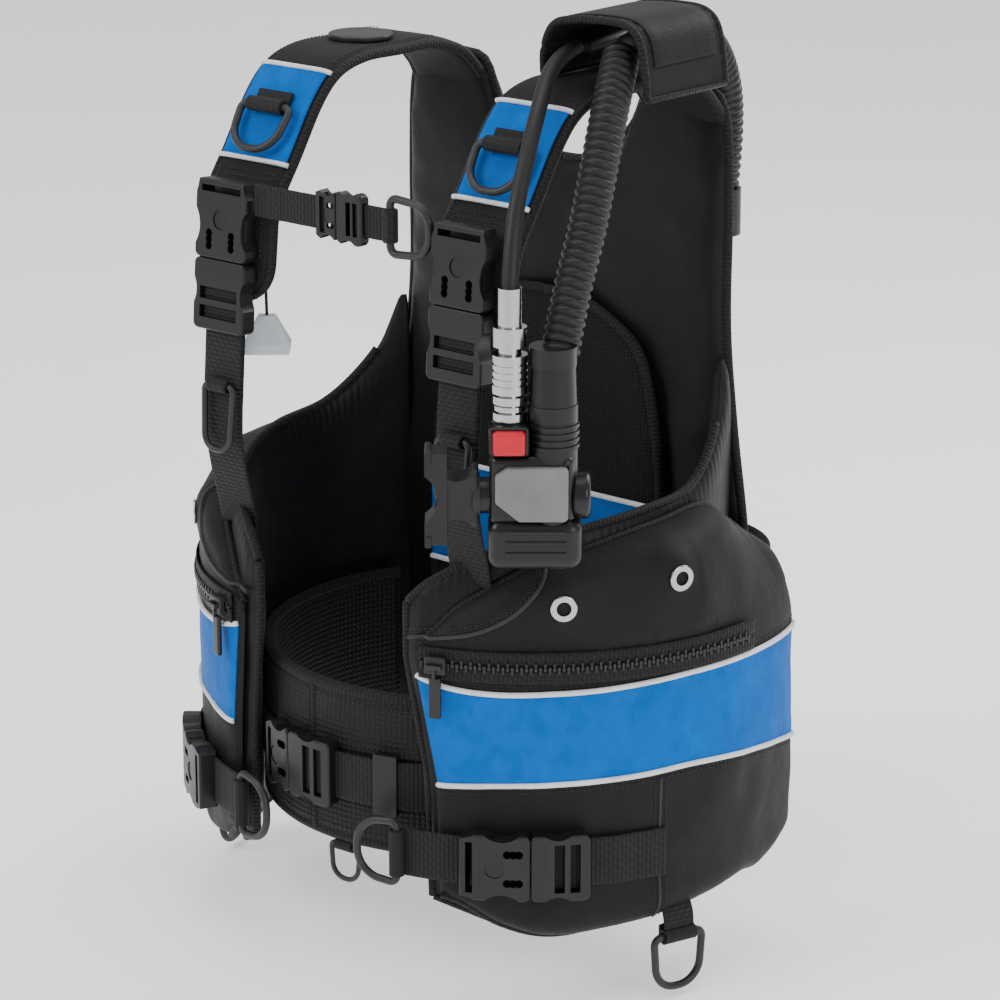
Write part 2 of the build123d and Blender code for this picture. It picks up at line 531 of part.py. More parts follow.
mouthpiece += Pos(-44.2, 0, MOUTH_Z) * Rot(0, 90, 0) * (Cylinder(16, 5) - Cylinder(13.1, 5))
mouthpiece = mouthpiece - Pos(-38, 0, MOUTH_Z) * Rot(0, 90, 0) * Cylinder(13.05, 12)

cuff_base = Pos(HOSE_X, 0, 0)
hose_cuff = cuff_base * (rod(18, 50.2, 62) + Pos(0, 0, 76) * Cone(17.2, 16.2, 28) + rod(17.0, 90, 104))
coupling_base = Pos(COUPLING_X, 0, 0)
lp_coupling = rod(8.2, 50.2, 121) + rod(8.6, 118, 146)
for radius, low, high in ((12.2, 50.4, 56), (11.2, 57.5, 61), (12.2, 62.5, 68), (12.2, 104, 118)):
    lp_coupling += rod(radius, low, high)
lp_coupling = coupling_base * lp_coupling
coupling_collar = rod(12.7, 70, 98) - rod(8.2 + GAP, 60, 110)
for groove in (76, 81, 86, 91):
    coupling_collar = coupling_collar - (rod(14, groove, groove + 2) - rod(11.9, groove, groove + 2))
coupling_collar = coupling_base * coupling_collar

# ---- shoulder dump: valve cap, cord and knob, and the rear dump valve ---------------------
shoulder_valve = Pos(-PAD_X, 26, 525.2 + 2) * fillet(Cylinder(25, 4).edges(), 1.2)
rear_valve = Pos(-118, BACK_OUTER + 5, 24) * Rot(90, 0, 0) * fillet(Cylinder(27, 10).edges(), 2)
dump_valves = Part() + [shoulder_valve, rear_valve]
pull_cord = tube(PULL_ROUTE, PULL_RADIUS, "pull_cord")
knob_top = PULL_ROUTE[-1]
knob_levels = ((0, 13, 11), (-22, 36, 20), (-29, 34, 18))      # height, width and depth
knob = loft([Pos(0, 0, z) * Rectangle(wide, deep) for z, wide, deep in knob_levels], ruled=True)
pull_knob = Pos(knob_top[0], knob_top[1], knob_top[2]) * Rot(0, 0, INFLATOR_TURN) * knob

# ---- nodes ---------------------------------------------------------------------------------
nodes = {
    "bladder_back": bladder_back, "back_pad": back_pad, "lumbar_panel": lumbar_panel,
    "backpack_plate": backpack_plate, "tank_band": tank_band, "tank_buckle": tank_buckle,
    "tank_buckle_lever": tank_buckle_lever, "carry_handle": carry_handle, "chest_strap": chest_strap,
    "chest_socket": chest_socket, "chest_plug": chest_plug, "chest_ring": chest_ring,
    "cummerbund": Part() + [cummerbund_left, cummerbund_right], "waist_belt": waist_belt,
    "waist_socket": waist_socket, "waist_plug": waist_plug, "cummerbund_ring": cummerbund_ring,
    "dump_valves": dump_valves, "pull_cord": pull_cord, "pull_knob": pull_knob,
    "hose_sleeve": hose_sleeve, "hose_elbow": hose_elbow, "corrugated_hose": corrugated_hose,
    "corrugated_hose_rear": corrugated_hose_rear, "lp_hose": lp_hose, "lp_hose_rear": lp_hose_rear,
    "lp_hose_fitting": lp_hose_fitting,
}
for name, solid in (("inflator_body", inflator_body), ("mouthpiece", mouthpiece), ("hose_cuff", hose_cuff),
                    ("lp_coupling", lp_coupling), ("coupling_collar", coupling_collar),
                    ("inflate_button", inflate_button), ("deflate_button", deflate_button)):
    nodes[name] = inflator_place * solid

# pieces whose two sides share a node
for name, keys in (("bladder_wings", ["wing"]), ("pockets", ["pocket"]), ("shoulder_pads", ["pad"]),
                   ("shoulder_panels", ["panel"]), ("shoulder_sockets", ["shoulder_socket"]),
                   ("shoulder_webbing", ["webbing"]), ("zip_chains", ["zip_chain"]),
                   ("pocket_straps", ["strap_front", "strap_rear"]), ("pocket_sockets", ["pocket_socket"]),
                   ("grommets", ["grommets"]), ("ring_tabs", ["shoulder_tab", "hip_tab", "bottom_tab"])):
    nodes[name] = Part() + [side for key in keys for side in (left[key], mirrored(left[key]))]
nodes["ring_tabs"] = nodes["ring_tabs"] + crotch_tab
nodes["belt_sliders"] = Part() + [waist_slider]

# pieces with a node for each side
for name, key in (("shoulder_d_ring", "shoulder_d_ring"), ("shoulder_plug", "shoulder_plug"),
                  ("tail_ring", "tail_ring"), ("pocket_plug", "pocket_plug"), ("zip_slider", "zip_slider"),
                  ("hip_d_ring", "hip_d_ring"), ("bottom_d_ring", "bottom_d_ring")):
    nodes[name + "_left"] = left[key]
    nodes[name + "_right"] = mirrored(left[key])

for name, solid in nodes.items():
    export_step(solid, f"parts/{name}.step")
print(len(nodes), "nodes")
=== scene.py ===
"""Buoyancy compensator vest: the looks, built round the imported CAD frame. Metres, +Z up."""

import math
from math import cos, radians, sin, sqrt

import bmesh
import bpy
import numpy as np
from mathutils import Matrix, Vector, noise
from numpy import linspace


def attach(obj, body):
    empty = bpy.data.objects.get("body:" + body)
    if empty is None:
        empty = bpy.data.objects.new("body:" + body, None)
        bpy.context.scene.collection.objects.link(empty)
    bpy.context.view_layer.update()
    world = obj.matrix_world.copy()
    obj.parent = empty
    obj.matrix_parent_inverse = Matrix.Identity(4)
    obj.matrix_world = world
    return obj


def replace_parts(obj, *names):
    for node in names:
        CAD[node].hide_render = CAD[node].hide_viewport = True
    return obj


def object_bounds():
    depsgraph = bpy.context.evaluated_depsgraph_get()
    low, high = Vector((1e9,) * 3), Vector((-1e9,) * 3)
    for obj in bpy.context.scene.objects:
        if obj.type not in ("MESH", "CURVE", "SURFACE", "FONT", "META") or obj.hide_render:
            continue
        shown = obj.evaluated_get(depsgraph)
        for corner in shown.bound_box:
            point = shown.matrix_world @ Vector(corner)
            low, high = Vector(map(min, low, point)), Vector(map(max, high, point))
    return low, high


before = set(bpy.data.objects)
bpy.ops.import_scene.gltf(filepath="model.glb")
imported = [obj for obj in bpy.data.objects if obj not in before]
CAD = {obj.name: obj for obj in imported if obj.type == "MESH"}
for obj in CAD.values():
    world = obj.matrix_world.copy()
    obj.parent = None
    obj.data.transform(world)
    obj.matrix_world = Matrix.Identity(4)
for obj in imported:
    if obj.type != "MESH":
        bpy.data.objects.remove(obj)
cad_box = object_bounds()
MM = 0.001

# ---- camera ----
TARGET = Vector((-0.006, 0.061, 0.166))
AZIMUTH = radians(40.0)
ELEVATION = radians(17.0)
DISTANCE = 3.0
LENS = 137.2

camera = bpy.data.objects.new("camera", bpy.data.cameras.new("camera"))
bpy.context.scene.collection.objects.link(camera)
away = Vector((sin(AZIMUTH) * cos(ELEVATION), -cos(AZIMUTH) * cos(ELEVATION),
               sin(ELEVATION)))
camera.location = TARGET + away * DISTANCE
camera.rotation_euler = away.to_track_quat("Z", "Y").to_euler()
camera.data.lens = LENS
bpy.context.scene.camera = camera

# ---- cords: routes in millimetres, the same as in the CAD model ----
HOSE_FRONT = [(156, 4, 547), (173, -27, 524), (183, -53, 484), (191, -76, 440), (195, -100, 398),
              (198, -116, 356)]
HOSE_REAR = [(120, 174, 410), (121, 182, 465), (129, 160, 517), (141, 114, 549), (150, 60, 553),
             (156, 15, 547)]
LP_FRONT = [(114, 4, 547), (125, -37, 546), (148, -84, 510), (160, -118, 462), (170, -137, 426),
            (174.3, -143.2, 394)]
LP_REAR = [(112, 15, 545), (108, 62, 547), (103, 114, 541), (94, 157, 511), (86, 173, 462), (83, 169, 408),
           (87, 168, 353), (83, 171, 298), (86, 169, 243)]
PULL_ROUTE = [(-101, -105, 404), (-101.8, -102.6, 382), (-100.6, -101.8, 357), (-101, -101, 332)]


def spline_object(name, route, bevel=0.0):
    """Curve object with one open NURBS spline through a route's control points."""
    data = bpy.data.curves.new(name, "CURVE")
    data.dimensions = "3D"
    spline = data.splines.new("NURBS")
    spline.points.add(len(route) - 1)
    for point, at in zip(spline.points, route):
        point.co = (*(c * MM for c in at), 1.0)
    spline.order_u = 3
    spline.use_endpoint_u = True
    spline.resolution_u = 24
    data.bevel_depth = bevel
    data.bevel_resolution = 6
    data.use_fill_caps = True
    obj = bpy.data.objects.new(name, data)
    bpy.context.scene.collection.objects.link(obj)
    return obj


def spline_points(route):
    """Points along a route's NURBS, in metres."""
    obj = spline_object("guide", route)
    mesh = bpy.data.meshes.new_from_object(obj)
    points = np.array([v.co[:] for v in mesh.vertices])
    bpy.data.objects.remove(obj)
    bpy.data.meshes.remove(mesh)
    return points


def length_of(points):
    return float(np.linalg.norm(np.diff(points, axis=0), axis=1).sum())


def walk(points):
    """Distance walked along a line of points, at each of them."""
    return np.concatenate([[0], np.cumsum(np.linalg.norm(np.diff(points, axis=0), axis=1))])


def at_distance(values, walked, wanted):
    """Rows of values at one or more wanted distances along a line."""
    return np.stack([np.interp(wanted, walked, values[:, k]) for k in range(3)], axis=-1)


# ---- mesh helpers ----
def link_mesh(name, verts, faces, uvs=None, smooth=True):
    """Mesh object from points in metres; uvs holds one (u, v) for each corner of each face."""
    mesh = bpy.data.meshes.new(name)
    mesh.from_pydata([tuple(map(float, v)) for v in verts], [], [tuple(map(int, f)) for f in faces])
    if uvs is not None:
        layer = mesh.uv_layers.new(name="UVMap")
        layer.data.foreach_set("uv", np.asarray(uvs, np.float32).ravel())
    mesh.validate()
    mesh.polygons.foreach_set("use_smooth", [smooth] * len(mesh.polygons))
    obj = bpy.data.objects.new(name, mesh)
    bpy.context.scene.collection.objects.link(obj)
    return obj


def loft(name, rings):
    """Closed solid through rings of equal point counts, capped at both ends. u runs along, v around."""
    rings = np.asarray(rings, float)
    n, m, _ = rings.shape
    along = walk(rings.mean(axis=1))
    around = walk(np.vstack([rings[n // 2], rings[n // 2][:1]]))
    faces, uvs = [], []
    for i in range(n - 1):
        for j in range(m):
            k = (j + 1) % m
            faces.append((i * m + j, i * m + k, (i + 1) * m + k, (i + 1) * m + j))
            uvs += [(along[i], around[j]), (along[i], around[j + 1]), (along[i + 1], around[j + 1]),
                    (along[i + 1], around[j])]
    verts = list(rings.reshape(-1, 3))
    for i in (0, n - 1):
        hub = len(verts)
        verts.append(rings[i].mean(axis=0))
        for j in range(m):
            k = (j + 1) % m
            faces.append((i * m + j, i * m + k, hub) if i else (i * m + k, i * m + j, hub))
            uvs += [(along[i], around[j])] * 3
    obj = link_mesh(name, verts, faces, uvs)
    fix_normals(obj)
    return obj


def fix_normals(obj):
    """Faces outwards."""
    work = bmesh.new()
    work.from_mesh(obj.data)
    bmesh.ops.recalc_face_normals(work, faces=work.faces)
    work.to_mesh(obj.data)
    work.free()


def frames(path, hint):
    """Side and normal at each point of a path. hint is the direction that normals lean to."""
    path = np.asarray(path, float)
    tangent = np.gradient(path, axis=0)
    tangent /= np.linalg.norm(tangent, axis=1)[:, None]
    hint = np.broadcast_to(np.asarray(hint, float), path.shape)
    normal = hint - (hint * tangent).sum(axis=1)[:, None] * tangent
    normal /= np.linalg.norm(normal, axis=1)[:, None]
    return np.cross(tangent, normal), normal


def ribbon(name, path, width, thick, hint, crown=0.0, bumps=0.0, seed=0):
    """Strap: a flat closed section with rounded edges, swept along a path in metres."""
    path = np.asarray(path, float)
    side, normal = frames(path, hint)
    half, edge = width / 2, thick / 2
    section = []
    for way in (1, -1):
        for a in np.radians(linspace(-90, 90, 5) + (0 if way > 0 else 180)):
            section.append((way * (half - edge) + edge * cos(a), edge * sin(a)))
        section += [(half * f, way * edge) for f in linspace(0.75 * way, -0.75 * way, 7)]
    rings = []
    for i, at in enumerate(path):
        wave = noise.noise(Vector((i * 0.35, seed * 7.1, 0.0))) * bumps
        rings.append([at + side[i] * across + normal[i] * (up + crown * (1 - (across / half) ** 2) + wave)
                      for across, up in section])
    return loft(name, rings)


def tube(name, path, radius, sides=10, closed=False):
    """Round tube along points; radius is one number or one for each point."""
    path = np.asarray(path, float)
    radius = np.broadcast_to(np.asarray(radius, float), (len(path),))
    tangent = np.gradient(path, axis=0)
    if closed:
        tangent = np.roll(path, -1, axis=0) - np.roll(path, 1, axis=0)
    tangent /= np.linalg.norm(tangent, axis=1)[:, None]
    normal = np.cross(tangent[0], (0.0, 0.0, 1.0))
    if np.linalg.norm(normal) < 0.2:
        normal = np.cross(tangent[0], (1.0, 0.0, 0.0))
    normal /= np.linalg.norm(normal)
    rings = []
    for at, t, r in zip(path, tangent, radius):
        normal = normal - t * np.dot(normal, t)
        normal /= np.linalg.norm(normal)
        other = np.cross(t, normal)
        rings.append([at + r * (cos(a) * normal + sin(a) * other)
                      for a in linspace(0, 2 * math.pi, sides, endpoint=False)])
    if closed:
        rings.append(rings[0])
    return loft(name, rings)


def smooth_path(points, count, closed=False):
    """Catmull-Rom curve through given points, evenly spaced."""
    p = np.asarray(points, float)
    if closed:
        p = np.vstack([p[-1:], p, p[:2]])
    else:
        p = np.vstack([2 * p[0] - p[1], p, 2 * p[-1] - p[-2]])
    dense = []
    for a, b, c, d in zip(p, p[1:], p[2:], p[3:]):
        for t in linspace(0, 1, 24, endpoint=False):
            dense.append(0.5 * (2 * b + (c - a) * t + (2 * a - 5 * b + 4 * c - d) * t ** 2
                                + (3 * b - a - 3 * c + d) * t ** 3))
    dense.append(p[-2])
    dense = np.array(dense)
    walked = walk(dense)
    return at_distance(dense, walked, linspace(0, walked[-1], count))


def join(name, objects):
    """One object out of several."""
    verts, faces, uvs = [], [], []
    for o in objects:
        mesh, start = o.data, len(verts)
        verts += [v.co[:] for v in mesh.vertices]
        layer = mesh.uv_layers[0].data if mesh.uv_layers else None
        for f in mesh.polygons:
            faces.append([start + i for i in f.vertices])
            uvs += [tuple(layer[l].uv) if layer else (0, 0) for l in f.loop_indices]
    obj = link_mesh(name, verts, faces, uvs)
    for o in objects:
        bpy.data.objects.remove(o)
    return obj


def mirror_copy(obj, name):
    """The same piece on the other side of the body."""
    mesh = obj.data.copy()
    co = np.empty(len(mesh.vertices) * 3)
    mesh.vertices.foreach_get("co", co)
    mesh.vertices.foreach_set("co", (co.reshape(-1, 3) * (-1, 1, 1)).ravel())
    mesh.flip_normals()
    other = bpy.data.objects.new(name, mesh)
    bpy.context.scene.collection.objects.link(other)
    return other


def wobble(at, size, seed=0.0):
    """Smooth noise from -1 to 1 at a point in metres."""
    return noise.noise(Vector((at[0] / size + seed, at[1] / size, at[2] / size)))


def stitches(path, hint, pitch=0.0042, length=0.0027, radius=0.0004):
    """Row of short raised threads along a path."""
    path = np.asarray(path, float)
    walked = walk(path)
    verts, faces = [], []
    side, normal = frames(path, hint)
    for start in np.arange(0, walked[-1] - length, pitch):
        up, across = at_distance(normal, walked, start), at_distance(side, walked, start)
        base = len(verts)
        for share, lift, r in ((0, 0.0, radius * 0.5), (0.5, radius * 0.9, radius), (1, 0.0, radius * 0.5)):
            at = at_distance(path, walked, start + length * share)
            for a in range(5):
                turn = 2 * math.pi * a / 5
                verts.append(at + up * (lift + r * sin(turn)) + across * r * cos(turn))
        for i in (base, base + 5):
            for a in range(5):
                b = (a + 1) % 5
                faces.append((i + a, i + b, i + 5 + b, i + 5 + a))
        faces.append([base + a for a in range(5)][::-1])
        faces.append([base + 10 + a for a in range(5)])
    return link_mesh("stitches", verts, faces)


def wear(piece, material, body="vest"):
    """Material, slot and body of a new piece."""
    piece.data.materials.clear()
    piece.data.materials.append(material)
    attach(piece, body)
    return piece


def both_sides(piece, material, body="vest"):
    """Material, slot and body of a left piece and of its mirror image on the right."""
    right = mirror_copy(piece, piece.name.replace("left", "right"))
    for p, on in ((piece, body), (right, body.replace("left", "right"))):
        wear(p, material, on)


# ---- materials ----
class Nodes:
    """Short way to build a material's node tree."""

    def __init__(self, name):
        self.material = bpy.data.materials.new(name)
        self.material.use_nodes = True
        self.tree = self.material.node_tree
        self.shader = self.tree.nodes["Principled BSDF"]
        self.coords = self.tree.nodes.new("ShaderNodeTexCoord")

    def add(self, kind, inputs=None, **settings):
        node = self.tree.nodes.new("ShaderNode" + kind)
        for key, value in settings.items():
            setattr(node, key, value)
        for key, value in (inputs or {}).items():
            if isinstance(value, bpy.types.NodeSocket):
                self.tree.links.new(value, node.inputs[key])
            else:
                node.inputs[key].default_value = value
        return node

    def math(self, operation, a, b=0.0, clamp=False):
        node = self.add("Math", {0: a, 1: b}, operation=operation)
        node.use_clamp = clamp
        return node.outputs[0]

    def place(self, space, turn=0.0):
        return self.add("Mapping", {"Vector": self.coords.outputs[space], "Rotation": (0, 0, turn)}).outputs[0]

    def noise(self, scale, detail=3.0, rough=0.5):
        inputs = {"Vector": self.coords.outputs["Object"], "Scale": scale, "Detail": detail, "Roughness": rough}
        return self.add("TexNoise", inputs).outputs["Fac"]

    def wave(self, vector, direction, scale, distort=0.0):
        node = self.add("TexWave", {"Vector": vector, "Scale": scale, "Distortion": distort},
                        wave_type="BANDS", bands_direction=direction, wave_profile="SIN")
        return node.outputs["Fac"]

    def ramp(self, value, stops):
        node = self.add("ValToRGB", {0: value})
        ramp = node.color_ramp
        while len(ramp.elements) < len(stops):
            ramp.elements.new(0.5)
        for element, (at, colour) in zip(ramp.elements, stops):
            element.position = at
            element.color = (*colour, 1.0)
        return node.outputs["Color"]

    def step(self, value, low, high):
        """Black below one value, white above another."""
        return self.add("RGBToBW", {0: self.ramp(value, [(low, (0, 0, 0)), (high, (1, 1, 1))])}).outputs[0]

    def bump(self, height, strength, distance=0.0005, onto=None):
        inputs = {"Height": height, "Strength": strength, "Distance": distance}
        if onto:
            inputs["Normal"] = onto
        return self.add("Bump", inputs).outputs["Normal"]

    def mix(self, amount, a, b, how="MIX"):
        node = self.add("Mix", data_type="RGBA", blend_type=how)
        for index, value in ((0, amount), (6, a), (7, b)):
            if isinstance(value, bpy.types.NodeSocket):
                self.tree.links.new(value, node.inputs[index])
            else:
                node.inputs[index].default_value = value if index == 0 else (*value, 1.0)
        return node.outputs[2]

    def finish(self, colour=None, rough=None, normal=None, **plain):
        for key, value in (("Base Color", colour), ("Roughness", rough), ("Normal", normal)):
            if isinstance(value, bpy.types.NodeSocket):
                self.tree.links.new(value, self.shader.inputs[key])
            elif value is not None:
                self.shader.inputs[key].default_value = (*value, 1.0) if key == "Base Color" else value
        for key, value in plain.items():
            self.shader.inputs[key.replace("_", " ")].default_value = value
        return self.material


def shade(colour, factor):
    return tuple(min(1.0, c * factor) for c in colour)


def cloth(name, colour, pitch=0.0006, depth=0.6, rough=0.62, sheen=0.03, creases=0.25, space="UV",
          contrast=0.35, shine=0.17):
    """Plain weave with uneven yarns, soft creases and a faint dusty sheen."""
    n = Nodes(name)
    grid = n.place(space)
    scale = 1.0 / pitch / 20 * math.pi
    warp = n.wave(grid, "X", scale, 0.4)
    weft = n.wave(grid, "Y", scale, 0.4)
    weave = n.math("MULTIPLY", warp, weft)
    uneven = n.noise(60, 4, 0.6)
    patch = n.noise(7, 3, 0.55)
    tone = n.math("ADD", n.math("MULTIPLY", weave, contrast), n.math("MULTIPLY", uneven, 0.5))
    tone = n.math("ADD", tone, n.math("MULTIPLY", patch, 0.35), clamp=True)
    base = n.ramp(tone, [(0.15, shade(colour, 0.55)), (0.55, colour), (0.95, shade(colour, 1.6))])
    soft = n.noise(22, 4, 0.6)
    normal = n.bump(soft, creases, 0.004)
    normal = n.bump(weave, depth, pitch * 0.35, normal)
    gloss = n.ramp(n.math("ADD", n.math("MULTIPLY", soft, 0.5), n.math("MULTIPLY", weave, 0.3)),
                   [(0.2, (rough - 0.1,) * 3), (0.8, (min(1.0, rough + 0.15),) * 3)])
    return n.finish(base, gloss, normal, Sheen_Weight=sheen, Sheen_Roughness=0.45, Specular_IOR_Level=shine)


def webbing(name, colour):
    """Ribbed narrow weave: fine ribs across the strap and two raised selvedges."""
    n = Nodes(name)
    grid = n.place("UV")
    ribs = n.wave(grid, "X", 1.0 / 0.0017 / 20 * math.pi, 0.15)
    twill = n.wave(n.place("UV", turn=radians(38)), "Y", 1.0 / 0.0026 / 20 * math.pi, 0.1)
    weave = n.math("ADD", n.math("MULTIPLY", ribs, 0.65), n.math("MULTIPLY", twill, 0.35))
    fuzz = n.noise(400, 2, 0.7)
    tone = n.math("ADD", n.math("MULTIPLY", weave, 0.6), n.math("MULTIPLY", fuzz, 0.4))
    base = n.ramp(tone, [(0.2, shade(colour, 0.45)), (0.6, colour), (0.95, shade(colour, 2.0))])
    normal = n.bump(weave, 0.8, 0.0006, n.bump(n.noise(30, 3), 0.2, 0.002))
    return n.finish(base, 0.66, normal, Sheen_Weight=0.04, Sheen_Roughness=0.5, Specular_IOR_Level=0.2)


def mesh_cloth(name, colour, cell=0.0028):
    """Spacer mesh: rows of small holes in a knitted face, the holes darkened with painted shade."""
    n = Nodes(name)
    cells = n.add("TexVoronoi", {"Vector": n.place("UV"), "Scale": 1.0 / cell, "Randomness": 0.12},
                  feature="F1", voronoi_dimensions="2D")
    hole_and_shade = n.step(cells.outputs["Distance"], 0.22, 0.42)
    # painted shade: the hole mask colours each hole near-black for the shade inside it; the same mask also
    # raises the knit as a bump
    base = n.mix(hole_and_shade, shade(colour, 0.25), shade(colour, 1.25))
    normal = n.bump(hole_and_shade, 0.9, 0.0009, n.bump(n.noise(900, 2, 0.6), 0.3, 0.0004))
    return n.finish(base, 0.75, normal, Sheen_Weight=0.03, Specular_IOR_Level=0.18)


def moulded(name, colour, rough=0.42, grain=0.25):
    """Moulded plastic or rubber: fine grain, faint flow marks and worn edges."""
    n = Nodes(name)
    marks = n.noise(25, 4, 0.6)
    edge = n.step(n.add("NewGeometry").outputs["Pointiness"], 0.50, 0.62)
    edge = n.math("MULTIPLY", edge, n.noise(120, 3))
    body = n.ramp(marks, [(0.3, shade(colour, 0.85)), (0.7, shade(colour, 1.15))])
    lighter = tuple(min(1.0, c * 0.8 + 0.004) for c in colour)
    wear_marks = n.mix(n.math("MULTIPLY", edge, 0.6), (0, 0, 0), lighter)
    base = n.mix(1.0, body, wear_marks, "ADD")
    gloss = n.ramp(marks, [(0.25, (max(0.05, rough - 0.08),) * 3), (0.75, (min(1.0, rough + 0.10),) * 3)])
    return n.finish(base, gloss, n.bump(n.noise(900, 2, 0.6), grain, 0.0002), Specular_IOR_Level=0.36)


def plated(name, colour=(0.47, 0.465, 0.46), rough=0.10):
    """Polished plating with fine turning marks and smudges."""
    n = Nodes(name)
    turning = n.wave(n.place("Object"), "Z", 260, 0.5)
    smudge = n.noise(45, 4, 0.6)
    base = n.ramp(smudge, [(0.3, shade(colour, 0.85)), (0.7, colour)])
    gloss = n.ramp(smudge, [(0.3, (rough,) * 3), (0.8, (rough + 0.18,) * 3)])
    return n.finish(base, gloss, n.bump(turning, 0.08, 0.0002), Metallic=1.0)


BLACK = (0.0075, 0.0066, 0.0063)
PAD_BLACK = (0.0095, 0.0086, 0.0082)
WEB_BLACK = (0.0120, 0.0113, 0.0110)
BLUE = (0.0, 0.118, 0.46)
WHITE = (0.78, 0.79, 0.80)
PLASTIC = (0.0055, 0.0053, 0.0052)

mat_shell = cloth("shell_cloth", BLACK, pitch=0.0005, depth=0.35, rough=0.5, sheen=0.04, creases=0.35)
mat_pocket = cloth("pocket_cloth", shade(BLACK, 1.15), pitch=0.0007, depth=0.7, rough=0.62, creases=0.4)
mat_pad = cloth("pad_cloth", PAD_BLACK, pitch=0.0009, depth=0.8, rough=0.7, creases=0.2)
mat_ballistic = cloth("ballistic_cloth", PAD_BLACK, pitch=0.0022, depth=1.0, rough=0.6, contrast=0.7,
                      creases=0.2)
mat_blue = cloth("blue_cloth", BLUE, pitch=0.0004, depth=0.15, rough=0.55, sheen=0.0, creases=0.5,
                 contrast=0.12, shine=0.04)
mat_mesh = mesh_cloth("spacer_mesh", PAD_BLACK)
mat_web = webbing("webbing", WEB_BLACK)
mat_bind = webbing("binding_tape", shade(BLACK, 1.3))
mat_tab = cloth("tab_webbing", WEB_BLACK, pitch=0.0012, depth=0.9, rough=0.68, space="Object", contrast=0.6)
mat_piping = cloth("white_piping", WHITE, pitch=0.0006, depth=0.5, rough=0.5, sheen=0.2, creases=0.1,
                   contrast=0.1)
mat_thread = cloth("thread", (0.03, 0.03, 0.032), pitch=0.0004, rough=0.5, sheen=0.1)
mat_plastic = moulded("buckle_plastic", PLASTIC, rough=0.38, grain=0.35)
mat_ring = moulded("ring_plastic", (0.017, 0.0175, 0.019), rough=0.42, grain=0.3)
mat_inflator = moulded("inflator_plastic", (0.0045, 0.0044, 0.0044), rough=0.33, grain=0.2)
mat_rubber = moulded("hose_rubber", (0.0062, 0.0058, 0.0057), rough=0.5, grain=0.3)
mat_mouth = moulded("mouthpiece_rubber", (0.009, 0.009, 0.009), rough=0.55, grain=0.2)
mat_red = moulded("red_plastic", (0.50, 0.006, 0.018), rough=0.36, grain=0.1)
mat_grey = moulded("grey_plastic", (0.15, 0.155, 0.156), rough=0.45, grain=0.25)
mat_knob = moulded("pale_grey_plastic", (0.50, 0.55, 0.57), rough=0.48, grain=0.3)
mat_chrome = plated("plated_metal")
mat_zip = moulded("zip_plastic", (0.011, 0.011, 0.0112), rough=0.35, grain=0.2)
mat_cord = webbing("cord_yarn", (0.02, 0.02, 0.02))

# ---- hard nodes of the frame take their finish ----
def dress(material, names):
    """One finish on hard nodes of the frame."""
    for name in names:
        for material_slot in CAD[name].material_slots:
            material_slot.material = material


def pair(name):
    return [name + "_left", name + "_right"]


dress(mat_plastic, ["backpack_plate", "tank_buckle", "tank_buckle_lever", "chest_socket", "chest_plug",
                    "waist_socket", "waist_plug", "shoulder_sockets", "pocket_sockets", "belt_sliders",
                    "dump_valves", "hose_elbow"] + pair("shoulder_plug") + pair("pocket_plug"))
dress(mat_inflator, ["inflator_body", "hose_cuff"])
dress(mat_ring, ["chest_ring", "cummerbund_ring"] + pair("shoulder_d_ring") + pair("tail_ring")
      + pair("hip_d_ring") + pair("bottom_d_ring"))
dress(mat_red, ["inflate_button"])
dress(mat_grey, ["deflate_button"])
dress(mat_knob, ["pull_knob"])
dress(mat_chrome, ["grommets", "lp_coupling", "coupling_collar", "lp_hose_fitting"])
dress(mat_mouth, ["mouthpiece"])
dress(mat_zip, pair("zip_slider"))
dress(mat_tab, ["ring_tabs"])

# ---- hoses and cords ----
HOSE_R = 14.0 * MM
LP_R = 6.0 * MM
RIB_PITCH = 6.7 * MM


RIB_DEPTH = 2.6 * MM


def resample(points, step):
    """Even points along a line about a step apart, and the distance walked at each."""
    walked = walk(points)
    wanted = linspace(0, walked[-1], max(2, int(round(walked[-1] / step)) + 1))
    return at_distance(points, walked, wanted), wanted


def hose(name, node, route, body, ribbed):
    """Hose along a route's spline: plain, or with rounded ribs and narrow valleys."""
    line = spline_points(route)
    if ribbed:
        path, walked = resample(line, RIB_PITCH / 10)
        valley = 1 - np.abs(np.sin(np.pi * ((walked / RIB_PITCH) % 1.0))) ** 0.55
        piece = tube(name, path, HOSE_R - RIB_DEPTH * valley, 28)
    else:
        piece = tube(name, resample(line, 2 * MM)[0], LP_R, 24)
    wear(piece, mat_rubber, body)
    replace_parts(piece, node)


hose("corrugated_hose_front", "corrugated_hose", HOSE_FRONT, "inflator", True)
hose("corrugated_hose_back", "corrugated_hose_rear", HOSE_REAR, "vest", True)
hose("lp_hose_front", "lp_hose", LP_FRONT, "inflator", False)
hose("lp_hose_back", "lp_hose_rear", LP_REAR, "vest", False)

pull_line = spline_points(PULL_ROUTE)
pull = spline_object("pull_string", PULL_ROUTE, 1.2 * MM)
pull.data.materials.append(mat_cord)
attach(pull, "dump_pull")
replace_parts(pull, "pull_cord")

# ---- shapes shared by the soft pieces, in millimetres ----
BODY = (0.0, 30.0)
POCKET = (35.0, 50.0)
POCKET_RADIUS = 210.0
WING_MID = 187.0
WING_HALF = 8.6
WING_START = 23.5
WING_END = 121.0
WING_OUTER = 196.6


def profile(points):
    """Smooth height as a function of position, through given points."""
    dense = smooth_path([(a, b, 0.0) for a, b in points], 200)
    order = np.argsort(dense[:, 0])
    return lambda at: float(np.interp(at, dense[order, 0], dense[order, 1]))


